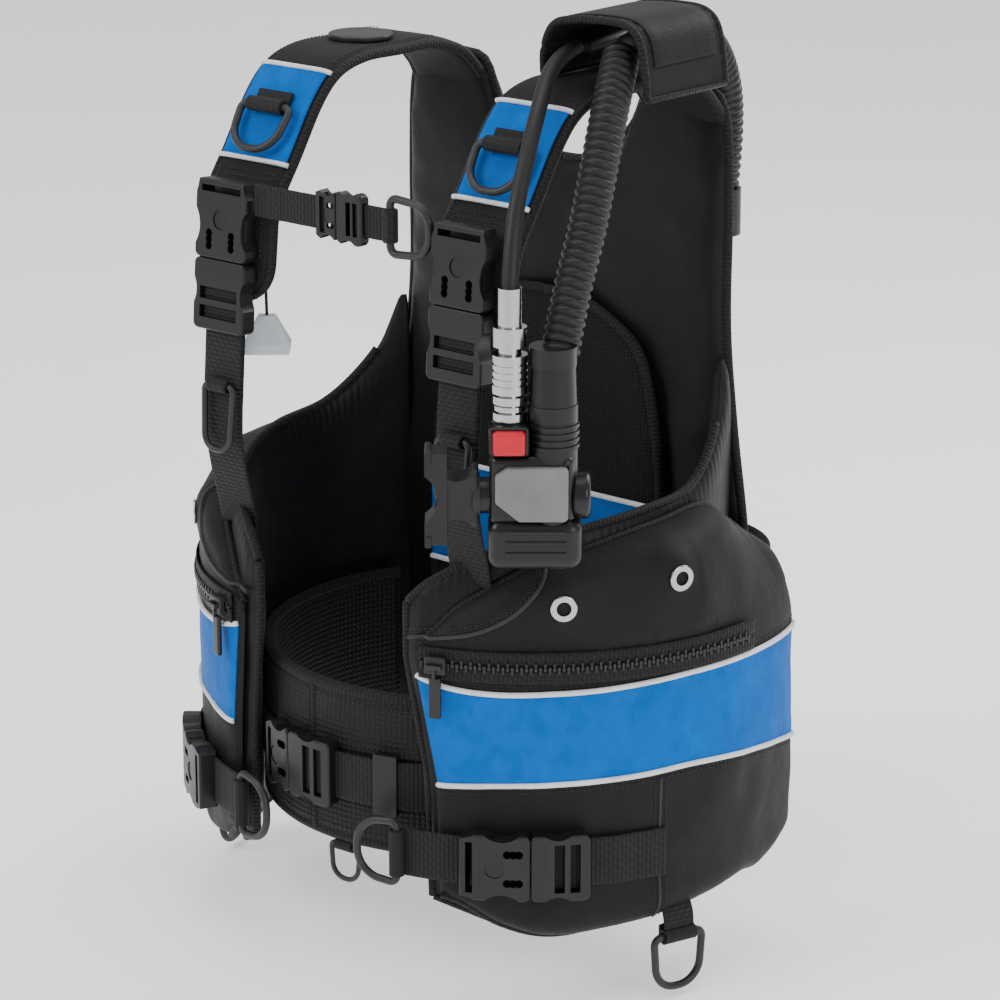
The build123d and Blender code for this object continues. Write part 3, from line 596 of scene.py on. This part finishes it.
wing_top = profile([(-170, 96), (-150, 123), (-143, 147), (-131, 171), (-104, 192), (-53, 204), (-3, 210),
                    (57, 217), (101, 250), (122, 296)])
wing_low = profile([(-170, -58), (-130, -88), (-96, -104), (-45, -103), (61, -93), (122, -68)])
pocket_top = profile([(-170, 88), (-150, 112), (-143, 134), (-132, 158), (-104, 182), (-53, 196), (-3, 202),
                      (57, 204), (100, 186), (155, 150)])
pocket_low = profile([(-170, -60), (-146, -75), (-126, -97), (-96, -108), (-45, -105), (61, -93), (90, -94),
                      (155, -62)])


def polar(centre, radius, turn, z):
    """Point in metres at a turn from straight ahead, positive towards the wearer's left."""
    a = radians(turn)
    return np.array([centre[0] + radius * sin(a), centre[1] - radius * cos(a), z]) * MM


def spread(count):
    """Positions from -1 to 1, closer together near both ends."""
    return np.sin(linspace(-math.pi / 2, math.pi / 2, count))


def both_faces(count):
    """Face, 1 or -1, and position of each point round a flat section: up one face and down the other."""
    steps = spread(count)
    return [(1, s) for s in steps] + [(-1, s) for s in steps[::-1][1:-1]]


def dome(s, power):
    """Height from 1 in the middle to 0 at 1 or -1, blunter with a higher power."""
    return sqrt(max(0.0, 1 - abs(s) ** power))


def level(low, high, s):
    """Height for a position from -1, low, to 1, high."""
    return (low + high) / 2 + s * (high - low) / 2


# wings: a puffed shell with pinched, bound edges
def slant(turn, z, start):
    """Front edges lean back towards the bottom."""
    lean = np.interp(z, [-110, 16, 110, 130], [6.0, 5.0, 0.0, 0.0])
    return turn + lean * max(0.0, 1 - (turn - start) / 35.0)


def wing_point(turn, z, out=0.0):
    return polar(BODY, WING_MID + out, slant(turn, z, WING_START), z)


def wing_height(edge, turn):
    """Height of the wing's top or bottom edge at a turn."""
    return edge(BODY[1] - WING_MID * cos(radians(turn)))


def wing_section(turn):
    low, high = wing_height(wing_low, turn), wing_height(wing_top, turn)
    ends = min(1.0, ((turn - WING_START) / 4.0 + 0.02)) ** 0.5
    ring = []
    for side, s in both_faces(44):
        z = level(low, high, s)
        puff = WING_HALF * dome(s, 8) * ends
        at = polar(BODY, WING_MID, turn, z)
        edge = min(high - z, z - low)
        crease = wobble(at, 0.045, 3.0) * 1.6 + wobble(at, 0.018, 9.0) * 0.5
        pucker = 0.7 * sin(turn * 3.1 + 2 * wobble(at, 0.03)) * math.exp(-edge / 16)
        reach = puff + (crease + pucker) * (0.3 + 0.7 * ends) * (1 if s * s < 0.98 else 0)
        ring.append(wing_point(turn, z, side * reach))
    return ring


wing = loft("wing_left", [wing_section(t) for t in linspace(WING_START, WING_END, 150)])
wing_turns = linspace(WING_START + 0.3, 113, 120)
top_path = [wing_point(t, wing_height(wing_top, t)) for t in wing_turns]
low_path = [wing_point(t, wing_height(wing_low, t)) for t in wing_turns]
front_path = [wing_point(WING_START, z) for z in linspace(wing_height(wing_low, WING_START),
                                                             wing_height(wing_top, WING_START), 50)]
binding = join("wing_binding_left", [tube("a", top_path, 3.6 * MM), tube("b", low_path, 3.4 * MM),
                                     tube("c", front_path, 3.6 * MM)])
both_sides(wing, mat_shell)
both_sides(binding, mat_bind)
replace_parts(wing, "bladder_wings")

# cargo pockets
POCKET_START = 25.6
POCKET_END = 118.4
ROLL_HIGH = 125
ROLL_LOW = -55
ZIP_HEIGHT = 112.0
ZIP_START, ZIP_END = 16.5, 92
EYELETS = ((46.0, 158.0), (71.0, 172.0))


def circle_reach(turn):
    """Distance from the body's centre to the pocket's round face."""
    d = (sin(radians(turn)), -cos(radians(turn)))
    off = (BODY[0] - POCKET[0], BODY[1] - POCKET[1])
    along = d[0] * off[0] + d[1] * off[1]
    return -along + sqrt(along ** 2 - off[0] ** 2 - off[1] ** 2 + POCKET_RADIUS ** 2)


def pocket_inner(turn):
    return float(np.interp(turn, [0, 106, POCKET_END], [WING_OUTER, WING_OUTER, 212.0]))


def pocket_limits(turn):
    y = BODY[1] - (circle_reach(turn) - 6) * cos(radians(turn))
    return pocket_low(y), pocket_top(y)


def pocket_reach(turn, z):
    """Radius of the pocket's outer cloth, creases included."""
    low, high = pocket_limits(turn)
    inner = pocket_inner(turn)
    deep = circle_reach(turn) - inner
    rise = 1.0
    if z > ROLL_HIGH:
        rise = 0.0
        if high > ROLL_HIGH + 1:
            rise = dome(min(1.0, (z - ROLL_HIGH) / (high - ROLL_HIGH)), 5)
    elif z < ROLL_LOW:
        rise = dome(min(1.0, (ROLL_LOW - z) / (ROLL_LOW - low)), 5)
    shy = min(1.0, max(0.0, (turn - 84) / 26.0))
    rise *= 1 - shy * 0.72 * min(1.0, max(0.0, (z - 102) / 80.0)) ** 1.5
    front = max(0.0, 1 - (turn - POCKET_START) / 5.0)
    back = max(0.0, 1 - (POCKET_END - turn) / 6.0)
    rise *= dome(front, 4) * dome(back, 4)
    at = polar(BODY, 220, turn, z)
    free = min(1.0, (turn - POCKET_START) / 8.0)
    calm = 0.35 if 20 < z < 130 else 1.0
    strap = math.exp(-((z + 40) / 24) ** 2) if 30 < turn < 75 else 0.0
    crease = wobble(at, 0.05, 1.0) * 3.0 * calm + wobble(at * (1, 1, 0.45), 0.022, 5.0) * 1.1 * calm
    reach = inner + max(0.3, deep * rise - 1.2 * rise + crease * free * rise * (1 - strap) - 1.0 * strap)
    own = pocket_turn(turn)
    for eye_turn, eye_z in EYELETS:
        apart = math.hypot(radians(own - eye_turn) * POCKET_RADIUS, z - eye_z)
        hold = math.exp(-(apart / 17) ** 2)
        reach += (circle_reach(turn) + 0.4 - reach) * min(1.0, 1.25 * hold)
    return reach


def pocket_back(turn, z, lift):
    """Point on the pocket's inner side."""
    return polar(BODY, pocket_inner(turn) + lift, slant(turn, z, POCKET_START), z)


def pocket_point(turn, z, lift=0.0):
    return polar(BODY, pocket_reach(turn, z) + lift, slant(turn, z, POCKET_START), z)


def pocket_section(turn):
    low, high = pocket_limits(turn)
    ring = [pocket_point(turn, level(low, high, s)) for s in spread(80)]
    return ring + [pocket_back(turn, level(low, high, s), -0.2) for s in spread(14)[::-1][1:-1]]


def turn_about(centre, point):
    x, y, _ = point / MM
    return math.degrees(math.atan2(x - centre[0], -(y - centre[1])))


def pocket_turn(turn):
    """Turn about the pocket's centre, for a point of its face at a turn about the body's."""
    return turn_about(POCKET, polar(BODY, circle_reach(turn), turn, 0))


def body_turn(own):
    """The other way round."""
    return turn_about(BODY, polar(POCKET, POCKET_RADIUS, own, 0))


pocket = loft("pocket_bag_left", [pocket_section(t) for t in linspace(POCKET_START, POCKET_END, 220)])

band_high = profile([(8, 108), (16, 99), (23, 93), (33, 91), (53, 93), (76, 97), (106, 96), (130, 94)])
band_low = profile([(8, 12), (19, 16), (39, 20), (62, 23), (77, 24), (100, 14), (130, -6)])
band_turns = linspace(POCKET_START + 0.7, POCKET_END - 2, 200)
SHEET = 0.9


def patch(name, turns, low, high, lift, rows=36):
    """Sewn-on cloth following the pocket's face between two heights."""
    rings = []
    for turn in turns:
        own = pocket_turn(turn)
        z0, z1 = low(own), high(own)
        ring = [pocket_point(turn, z0 + (z1 - z0) * f, lift + SHEET) for f in linspace(0, 1, rows)]
        ring += [pocket_point(turn, z0 + (z1 - z0) * f, lift) for f in linspace(1, 0, 6)]
        rings.append(ring)
    return loft(name, rings)


def face_path(turns, height, lift):
    return [pocket_point(t, height(pocket_turn(t)), lift) for t in turns]


band = patch("pocket_band_left", band_turns, band_low, band_high, 0.1)
pipes = join("pocket_piping_left", [tube("p", face_path(band_turns, edge, 1.4), 2.1 * MM)
                                    for edge in (band_high, band_low)])
seams = []
for offset in (3.6, 6.4):
    seams.append(stitches(face_path(band_turns, lambda o: band_low(o) - offset, 0.2), (0, 0, 1)))
    seams.append(stitches(face_path(band_turns, lambda o: band_high(o) + offset, 0.2), (0, 0, 1)))
seam_turn = body_turn(67.0)
seam_levels = linspace(18, -96, 70)
seams.append(tube("s", [pocket_point(seam_turn, z, 0.2) for z in seam_levels], 1.1 * MM, 8))
for shift in (-1.1, 1.1):
    seams.append(stitches([pocket_point(seam_turn + shift, z, 0.2) for z in seam_levels], (1, 0, 0)))
welt = smooth_path([(13.5, 127, 0), (21, 131, 0), (29, 138, 0), (36, 152, 0), (41, 170, 0), (44, 186, 0)], 70)
seams.append(tube("s", [pocket_point(body_turn(own), z, 0.3) for own, z, _ in welt], 1.5 * MM, 8))
for shift in (3.2, 5.6):
    row = [pocket_point(body_turn(own), z + shift, 0.2) for own, z, _ in welt]
    seams.append(stitches(row, (0, 0, 1)))
pocket_seams = join("pocket_stitches_left", seams)
rim_turns = linspace(POCKET_START + 0.5, POCKET_END - 1, 160)
rims = join("pocket_binding_left", [
    tube("a", [pocket_back(t, pocket_limits(t)[0], 1.5) for t in rim_turns], 3.4 * MM),
    tube("b", [pocket_back(t, pocket_limits(t)[1], 0.5) for t in rim_turns], 2.8 * MM)])

# zip: woven tapes, two rows of interlocking teeth
def zip_point(own, dz, lift):
    return polar(POCKET, POCKET_RADIUS + 0.4 + lift, own, ZIP_HEIGHT + dz)


tapes = []
for low_z, high_z in ((-12, -1.2), (1.2, 12)):
    rings = []
    for own in linspace(ZIP_START, ZIP_END, 140):
        ring = [zip_point(own, z, 0.9) for z in linspace(low_z, high_z, 5)]
        ring += [zip_point(own, z, 0.0) for z in linspace(high_z, low_z, 5)]
        rings.append(ring)
    tapes.append(loft("t", rings))
zip_tape = join("zip_tape_left", tapes)
teeth_v, teeth_f = [], []
TOOTH_PITCH = 3.4
tooth_count = int(radians(74) * POCKET_RADIUS / TOOTH_PITCH)
for k in range(tooth_count):
    own = ZIP_START + 0.8 + math.degrees(k * TOOTH_PITCH / POCKET_RADIUS)
    way = 1 if k % 2 else -1
    for u0, u1, v0, v1, tall in ((-1.05, 1.05, 4.2 * way, 0.6 * way, 2.3),
                                 (-1.35, 1.35, 0.9 * way, -1.5 * way, 2.7)):
        base = len(teeth_v)
        for lift, inset in ((0.5, 0.0), (tall - 0.5, 0.0), (tall, 0.35)):
            for du, dv in ((u0 + inset, v0), (u1 - inset, v0), (u1 - inset, v1), (u0 + inset, v1)):
                teeth_v.append(zip_point(own + math.degrees(du / POCKET_RADIUS), dv, lift))
        for r in (0, 4):
            for a in range(4):
                b = (a + 1) % 4
                teeth_f.append((base + r + a, base + r + b, base + r + 4 + b, base + r + 4 + a))
        teeth_f.append((base + 3, base + 2, base + 1, base))
        teeth_f.append((base + 8, base + 9, base + 10, base + 11))
zip_teeth = link_mesh("zip_teeth_left", teeth_v, teeth_f, smooth=False)
fix_normals(zip_teeth)

both_sides(pocket, mat_pocket)
both_sides(band, mat_blue)
both_sides(pipes, mat_piping)
both_sides(pocket_seams, mat_thread)
both_sides(rims, mat_bind)
both_sides(zip_tape, mat_bind)
both_sides(zip_teeth, mat_zip)
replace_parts(pocket, "pockets")
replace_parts(zip_teeth, "zip_chains")


# ---- pillows: bladder behind the wearer, back pad, blue panel ----
def pillow(name, outline, front, back, blunt, crease, seed, pucker, rings=46, sides=220):
    """Stuffed panel in the XZ plane between two depths. The outline is star-shaped about its middle."""
    full = outline + [(-x, z) for x, z in outline[::-1] if x > 0]
    edge = smooth_path([(x, 0, z) for x, z in full], sides, closed=True)[:-1]
    centre = np.array([0.0, 0.0, (edge[:, 2].min() + edge[:, 2].max()) / 2])
    middle, deep = (front + back) / 2, abs(back - front) / 2
    verts, faces = [], []
    count = len(edge)
    steps = spread(2 * rings)[rings:]
    levels = [(s, -1) for s in steps] + [(s, 1) for s in steps[::-1][1:]]
    for s, side in levels:
        puff = deep * dome(s, blunt)
        for k, corner in enumerate(edge):
            at = centre + (corner - centre) * s
            inward = np.linalg.norm(corner - centre) * (1 - s)
            place = (at + (0, side * 30 + seed, 0)) * MM
            fold = crease * (wobble(place, 0.07, seed) * 1.6 + wobble(place, 0.028, seed + 4) * 0.5)
            fold += pucker * sin(k * 1.1 + 3 * wobble(place, 0.05)) * math.exp(-inward / 14)
            fade = min(1.0, inward / 9)
            verts.append(np.array([at[0], middle + side * (puff + fold * fade), at[2]]) * MM)
    for i in range(len(levels) - 1):
        for k in range(count):
            j = (k + 1) % count
            faces.append((i * count + k, i * count + j, (i + 1) * count + j, (i + 1) * count + k))
    faces.append(tuple(range(count))[::-1])
    faces.append(tuple((len(levels) - 1) * count + k for k in range(count)))
    uvs = [(verts[i][0], verts[i][2]) for f in faces for i in f]
    obj = link_mesh(name, verts, faces, uvs)
    fix_normals(obj)
    rim = [(p * (1, 0, 1) + (0, middle, 0)) * MM for p in edge]
    return obj, rim


BACK_OUTLINE = [(0, 430), (24, 432), (48, 444), (68, 466), (82, 496), (100, 501), (130, 501), (148, 495),
                (156, 468), (158, 405), (158, 320), (166, 242), (179, 149), (181, 60), (180, 0), (168, -54),
                (120, -60), (0, -60)]
back, back_rim = pillow("bladder_panel", BACK_OUTLINE, 119, 149.5, blunt=7, crease=2.2, seed=2.0, pucker=1.2)
wear(back, mat_shell)
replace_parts(back, "bladder_back")
wear(tube("bladder_binding", back_rim, 4.0 * MM, closed=True), mat_bind)

PAD_OUTLINE = [(0, 328), (30, 326), (62, 314), (92, 290), (107, 235), (114, 174), (117, 60), (115, -54),
               (0, -56)]
pad, pad_rim = pillow("back_pad_cushion", PAD_OUTLINE, 105.5, 118, blunt=12, crease=0.5, seed=6.0, pucker=0.4)
wear(pad, mat_mesh)
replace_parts(pad, "back_pad")
wear(tube("back_pad_binding", pad_rim, 4.2 * MM, closed=True), mat_bind)

LUMBAR_LOW, LUMBAR_HIGH, LUMBAR_HALF, LUMBAR_Y = 88.0, 173.0, 114.0, 103.4


def lumbar_point(x, z, back):
    return np.array([x, LUMBAR_Y + back, z]) * MM


rings = []
for x in linspace(-LUMBAR_HALF, LUMBAR_HALF, 80):
    ring = [lumbar_point(x, z, 0.6 * wobble((x * MM, 0, z * MM), 0.03, 7.0))
            for z in linspace(LUMBAR_LOW, LUMBAR_HIGH, 24)]
    rings.append(ring + [lumbar_point(x, z, 2.2) for z in linspace(LUMBAR_HIGH, LUMBAR_LOW, 6)])
lumbar = wear(loft("lumbar_band", rings), mat_blue)
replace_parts(lumbar, "lumbar_panel")
line = linspace(-LUMBAR_HALF, LUMBAR_HALF, 60)
lumbar_pipes = [tube("p", [lumbar_point(x, z, -0.8) for x in line], 2.1 * MM)
                for z in (LUMBAR_LOW, LUMBAR_HIGH)]
wear(join("lumbar_piping", lumbar_pipes), mat_piping)

# ---- cummerbund ----
CUMMER_LOW, CUMMER_HIGH = -55.0, 68.0
CUMMER_MID, CUMMER_HALF = 167.0, 4.3
CUMMER_SPLIT, CUMMER_END = -8.1, 116.0


def cummerbund_flap(name, start, end):
    """Padded band round the waist between two turns."""
    rings = []
    for turn in linspace(start, end, int(abs(end - start)) * 2):
        ends = min(1.0, (turn - start) / 2.0 + 0.05, (end - turn) / 2.0 + 0.05) ** 0.5
        ring = []
        for side, s in both_faces(30):
            z = level(CUMMER_LOW, CUMMER_HIGH, s)
            fold = 0.5 * wobble(polar(BODY, CUMMER_MID, turn, z), 0.03)
            ring.append(polar(BODY, CUMMER_MID + side * (CUMMER_HALF * ends * dome(s, 12) + fold), turn, z))
        rings.append(ring)
    flap = wear(loft(name, rings), mat_ballistic)
    return flap


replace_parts(cummerbund_flap("cummerbund_flap_left", CUMMER_SPLIT, CUMMER_END), "cummerbund")
cummerbund_flap("cummerbund_flap_right", -CUMMER_END, CUMMER_SPLIT)
turns = linspace(-CUMMER_END, CUMMER_END, 240)
bound = (CUMMER_LOW + 2, CUMMER_HIGH - 2)
edges = [tube("e", [polar(BODY, CUMMER_MID, t, z) for t in turns], 4.6 * MM, 12) for z in bound]
split_edge = [polar(BODY, CUMMER_MID + 0.4, CUMMER_SPLIT, z) for z in linspace(*bound, 30)]
edges.append(tube("e", split_edge, 4.4 * MM))
wear(join("cummerbund_binding", edges), mat_bind)
rows = [stitches([polar(BODY, CUMMER_MID + CUMMER_HALF + 0.5, t, z) for t in turns], (0, 0, 1))
        for z in (-24, 24, CUMMER_HIGH - 10, CUMMER_LOW + 10)]
wear(join("cummerbund_stitches", rows), mat_thread)

# ---- shoulder pads ----
PAD_X, PAD_HALF, PAD_THICK = 117.0, 35.0, 6.0
PAD_POINTS = [(133, 478), (124, 492), (104, 509), (72, 518.5), (30, 519), (-8, 519), (-38, 511), (-60, 492),
              (-85, 455), (-108, 420), (-113.5, 390), (-117, 347)]
pad_path = smooth_path([(PAD_X, y, z) for y, z in PAD_POINTS], 160) * MM
pad_side, pad_up = frames(pad_path, (0, -0.5, 1.0))


def pad_point(i, across, up):
    return pad_path[i] + pad_side[i] * across * MM + pad_up[i] * up * MM


def pad_half_width(i):
    """The pad narrows to a round tip at its lower end."""
    left = (len(pad_path) - 1 - i) * length_of(pad_path) / len(pad_path) / MM
    return PAD_HALF * sqrt(max(0.02, 1 - max(0.0, 1 - left / 34.0) ** 2.4))


rings = []
for i in range(len(pad_path)):
    half = pad_half_width(i)
    ring = []
    for side, s in both_faces(22):
        fold = 0.4 * wobble(pad_path[i] + s * 0.03, 0.03, 2.0)
        ring.append(pad_point(i, s * half, side * ((PAD_THICK - 0.6) * dome(s, 9) + fold)))
    rings.append(ring)
shoulder = loft("shoulder_pad_left", rings)
edge = [pad_point(i, pad_half_width(i), 0) for i in range(len(pad_path))]
edge += [pad_point(i, -pad_half_width(i), 0) for i in range(len(pad_path) - 1, -1, -1)]
shoulder_edge = tube("shoulder_binding_left", edge, 3.9 * MM)


def height_index(z):
    """Place on the front half of the pad's path at a height in millimetres."""
    front = [i for i in range(len(pad_path)) if pad_path[i][1] < 0.0]
    return min(front, key=lambda i: abs(pad_path[i][2] / MM - z))


PANEL_TOP, PANEL_LOW = 507.0, 446.0
first, last = height_index(PANEL_TOP), height_index(PANEL_LOW)
PANEL_HALF = PAD_HALF - 2.2
rings = []
for i in range(first, last + 1):
    ring = [pad_point(i, s * PANEL_HALF, PAD_THICK + 0.9 - 0.8 * s ** 6) for s in linspace(-1, 1, 20)]
    rings.append(ring + [pad_point(i, s * PANEL_HALF, PAD_THICK - 1.6) for s in linspace(1, -1, 8)])
shoulder_panel = loft("shoulder_band_left", rings)
pipes = []
for i in (first, last):
    line = [pad_point(i, s * (PAD_HALF + 0.5), PAD_THICK + 1.2 - 2.0 * s ** 8)
            for s in linspace(-1, 1, 40)]
    pipes.append(tube("p", line, 1.9 * MM))
shoulder_pipes = join("shoulder_piping_left", pipes)
rows = []
for across in (-PAD_HALF + 6.5, PAD_HALF - 6.5):
    for start, stop in ((30, first - 2), (last + 3, len(pad_path) - 14)):
        line = [pad_point(i, across, PAD_THICK - 0.4) for i in range(start, stop)]
        rows.append(stitches(line, (0, -0.5, 1)))
for i in (last + 4, last + 6):
    line = [pad_point(i, s * (PAD_HALF - 5), PAD_THICK - 0.2) for s in linspace(-1, 1, 30)]
    rows.append(stitches(line, (0, -1, 0.3)))
shoulder_rows = join("shoulder_stitches_left", rows)
both_sides(shoulder, mat_pad)
both_sides(shoulder_edge, mat_bind)
both_sides(shoulder_panel, mat_blue)
both_sides(shoulder_pipes, mat_piping)
both_sides(shoulder_rows, mat_thread)
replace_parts(shoulder, "shoulder_pads")
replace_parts(shoulder_panel, "shoulder_panels")

# ---- webbing ----
WEB = 2.4 * MM
BELT_W = 38 * MM
CHEST_W = 25 * MM
BELT_R = 172.4 + 1.2


def arc_path(centre, start, end, radius, z, count=60):
    """Level path round a centre. Radius is a number or a function of the turn."""
    turns = linspace(start, end, count)
    return [polar(centre, radius(t) if callable(radius) else radius, t, z) for t in turns]


def outwards(path, centre):
    """Directions away from an upright axis, along a path."""
    p = np.asarray(path) - (centre[0] * MM, centre[1] * MM, 0)
    p[:, 2] = 0
    return p / np.linalg.norm(p, axis=1)[:, None]


def round_strap(centre, start, end, radius, z, seed):
    path = arc_path(centre, start, end, radius, z)
    return ribbon("b", path, BELT_W, WEB, outwards(path, centre), bumps=0.3 * MM, seed=seed)


def belt_rise(turn):
    """The belt's radius: over the buckle's end first, then against the cummerbund."""
    return float(np.interp(turn, [0, 19, 24], [BELT_R + 3.3, BELT_R + 3.3, BELT_R]))


belt = join("waist_belt_web", [round_strap(BODY, -0.4, 100, belt_rise, 0, seed=1),
                               round_strap(BODY, -100, -23.0, BELT_R, 0, seed=2)])
wear(belt, mat_web)
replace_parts(belt, "waist_belt")

STRAP_Z = -40.0
STRAP_R = POCKET_RADIUS + 0.4 + 1.2


def strap_rise(turn):
    """The pocket strap's radius behind the buckle."""
    return float(np.interp(turn, [0, 57, 61], [STRAP_R + 1.6, STRAP_R + 1.6, STRAP_R]))


strap = join("pocket_web_left", [round_strap(POCKET, 13.0, 26.6, STRAP_R, STRAP_Z, seed=3),
                                 round_strap(POCKET, 48.8, 68.0, strap_rise, STRAP_Z, seed=4)])
both_sides(strap, mat_web)
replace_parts(strap, "pocket_straps")

CHEST_Y = -120 - 3.2 - 1.2
CHEST_Z = 427.0
chest_right, chest_left = ([np.array([x, CHEST_Y, CHEST_Z]) * MM for x in linspace(*span)]
                           for span in ((-88, -21.5, 30), (14.2, 41.5, 20)))
chest = join("chest_web", [ribbon("c", chest_right, CHEST_W, WEB, (0, -1, 0), seed=5, bumps=0.5 * MM),
                           ribbon("c", chest_left, CHEST_W, WEB, (0, -1, 0), seed=6)])
loop_path = [np.array([46 + 4.6 * cos(a), CHEST_Y - 4.6 * sin(a), CHEST_Z]) * MM
             for a in np.radians(linspace(180, -150, 40))]
loop_hint = [(p / MM - (46, CHEST_Y, CHEST_Z)) for p in loop_path]
chest = join("chest_web", [chest, ribbon("c", loop_path, CHEST_W, WEB, loop_hint)])
wear(chest, mat_web)
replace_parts(chest, "chest_strap")

tilt = math.atan2(-112 + 117, 415 - 347)
down = np.array([0, -sin(tilt), -cos(tilt)])
out = np.array([0, -cos(tilt), sin(tilt)])
knee = np.array([PAD_X, -112.0, 415.0])
MOUTH, BED, PLUG = 38.0, 6.3, 55.0


def strap_point(along, lift):
    """Point on the shoulder strap's line: distance below the buckle's mouth, and height over its bed."""
    return (knee + down * (MOUTH + along) + out * (BED + lift)) * MM


straight = [strap_point(u, 3.2) / MM for u in linspace(PLUG - 8, PLUG + 62, 6)]
main = smooth_path([tuple(p) for p in straight] + [(117, -133, 238), (117, -128.5, 212), (117, -122, 188),
                                                 (117, -118, 168)], 80) * MM
tail = [strap_point(u, 5.7) for u in linspace(PLUG - 8, PLUG + 42, 30)]
hub = strap_point(PLUG + 42, 2.0 + 4.8 + 2.9) / MM
loop_path = [(hub + down * 4.2 * sin(a) + out * 4.2 * cos(a)) * MM
             for a in np.radians(linspace(200, -80, 36))]
loop_hint = [(p / MM - hub) for p in loop_path]
web = join("shoulder_web_left", [ribbon("w", main, BELT_W, WEB, out, seed=8, bumps=0.15 * MM),
                                 ribbon("w", tail, BELT_W, WEB, out, seed=9, bumps=0.15 * MM),
                                 ribbon("w", loop_path, 20 * MM, WEB, loop_hint)])
both_sides(web, mat_web)
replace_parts(web, "shoulder_webbing")

# short webbing folded round the ladder bars of the plugs
shoulder_fold = [strap_point(u, 9.0) for u in linspace(20, 48, 12)]
pocket_fold = [polar(POCKET, 218.0, 39.5 + math.degrees(u / 210.4), STRAP_Z) for u in linspace(14, 37, 12)]
waist_fold = [polar(BODY, 181.0, -12.5 + math.degrees(u / 172.7), 0) for u in linspace(15, 38, 12)]
FOLD_W = BELT_W - 1 * MM
wear(ribbon("waist_fold_web", waist_fold, FOLD_W, WEB, outwards(waist_fold, BODY)), mat_web,
     "waist_plug")
both_sides(ribbon("shoulder_fold_web_left", shoulder_fold, FOLD_W, WEB, out), mat_web,
           body="shoulder_plug_left")
both_sides(ribbon("pocket_fold_web_left", pocket_fold, FOLD_W, WEB, outwards(pocket_fold, POCKET)),
           mat_web, body="pocket_plug_left")

TANK = (0.0, 256.0)
band_path = arc_path(TANK, -180, 180.5, 92.1 + 1.2, 60.0, 160)
tank_web = wear(ribbon("tank_web", band_path, 50 * MM, WEB, outwards(band_path, TANK)), mat_web)
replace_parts(tank_web, "tank_band")
HANDLE_HALF = [(61, 152.5, 353), (57, 168, 353), (46, 180, 353), (25, 183, 353)]
handle_points = [(-x, y, z) for x, y, z in HANDLE_HALF] + [(0, 183.5, 353)] + HANDLE_HALF[::-1]
handle_path = smooth_path(handle_points, 80) * MM
handle = ribbon("handle_web", handle_path, 30 * MM, 3 * MM, outwards(handle_path, (0, 120)), crown=0.4 * MM)
wear(handle, mat_web)
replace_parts(handle, "carry_handle")
BOTTOM_RING_TURN = 72.0
TAB = [(208.6, -106, 0), (208.4, -100, 0), (206, -92, 0), (199, -82, 0)]
tab_path = [polar(POCKET, r, BOTTOM_RING_TURN, z) for r, z, _ in smooth_path(TAB, 24)]
both_sides(ribbon("bottom_tab_left", tab_path, 27 * MM, WEB, outwards(tab_path, POCKET)), mat_web)

# ---- hose sleeve ----
SLEEVE = [(96, 528), (96.5, 548), (106, 566), (128, 571.5), (152, 573), (172, 571.5), (184, 562),
          (189.5, 540), (192, 520)]
sleeve_path = smooth_path([(x, 35, z) for x, z in SLEEVE], 90) * MM
sleeve_side, sleeve_up = frames(sleeve_path, (0.2, 0, 1.0))
sleeve = ribbon("sleeve_wrap", sleeve_path, 94 * MM, 3.0 * MM, sleeve_up, bumps=0.8 * MM, seed=11)
wear(sleeve, mat_pad)
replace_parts(sleeve, "hose_sleeve")
face = sleeve_path[14:78] + sleeve_up[14:78] * 1.9 * MM
wear(ribbon("sleeve_panel", face, 74 * MM, 1.6 * MM, sleeve_up[14:78]), mat_pocket)
border = [p + s * 46 * MM for p, s in zip(sleeve_path, sleeve_side)]
border += [p - s * 46 * MM for p, s in zip(sleeve_path[::-1], sleeve_side[::-1])]
wear(tube("sleeve_binding", border, 2.9 * MM, closed=True), mat_bind)

# ---- floor, world and lights ----
FLOOR_Z = cad_box[0][2] - 0.004
FLOOR_HALF = 9.0
corners = [(x * FLOOR_HALF, y * FLOOR_HALF, FLOOR_Z) for x, y in ((-1, -1), (1, -1), (1, 1), (-1, 1))]
floor = link_mesh("floor", corners, [(0, 1, 2, 3)])
paper = Nodes("floor_paper")
paper_tone = paper.ramp(paper.noise(3.0), [(0.3, (0.95,) * 3), (0.7, (0.98,) * 3)])
floor.data.materials.append(paper.finish(paper_tone, 0.9, Emission_Color=(1, 1, 1, 1),
                                         Emission_Strength=0.45))

world = bpy.data.worlds.new("studio")
world.use_nodes = True
world.node_tree.nodes["Background"].inputs["Color"].default_value = (0.98, 0.98, 1.0, 1)
world.node_tree.nodes["Background"].inputs["Strength"].default_value = 0.7
bpy.context.scene.world = world


def area_light(name, place, power, size):
    data = bpy.data.lights.new(name, "AREA")
    data.energy = power
    data.size = size
    lamp = bpy.data.objects.new(name, data)
    lamp.location = place
    lamp.rotation_euler = (Vector(place) - Vector((0, 0.05, 0.2))).to_track_quat("Z", "Y").to_euler()
    bpy.context.scene.collection.objects.link(lamp)


area_light("key", (-1.2, -2.2, 2.0), 42, 1.4)
area_light("side", (2.6, -0.6, 1.2), 24, 1.2)
area_light("rim", (0.6, 2.2, 1.8), 34, 1.2)
area_light("top", (0.0, 0.0, 2.6), 24, 1.6)
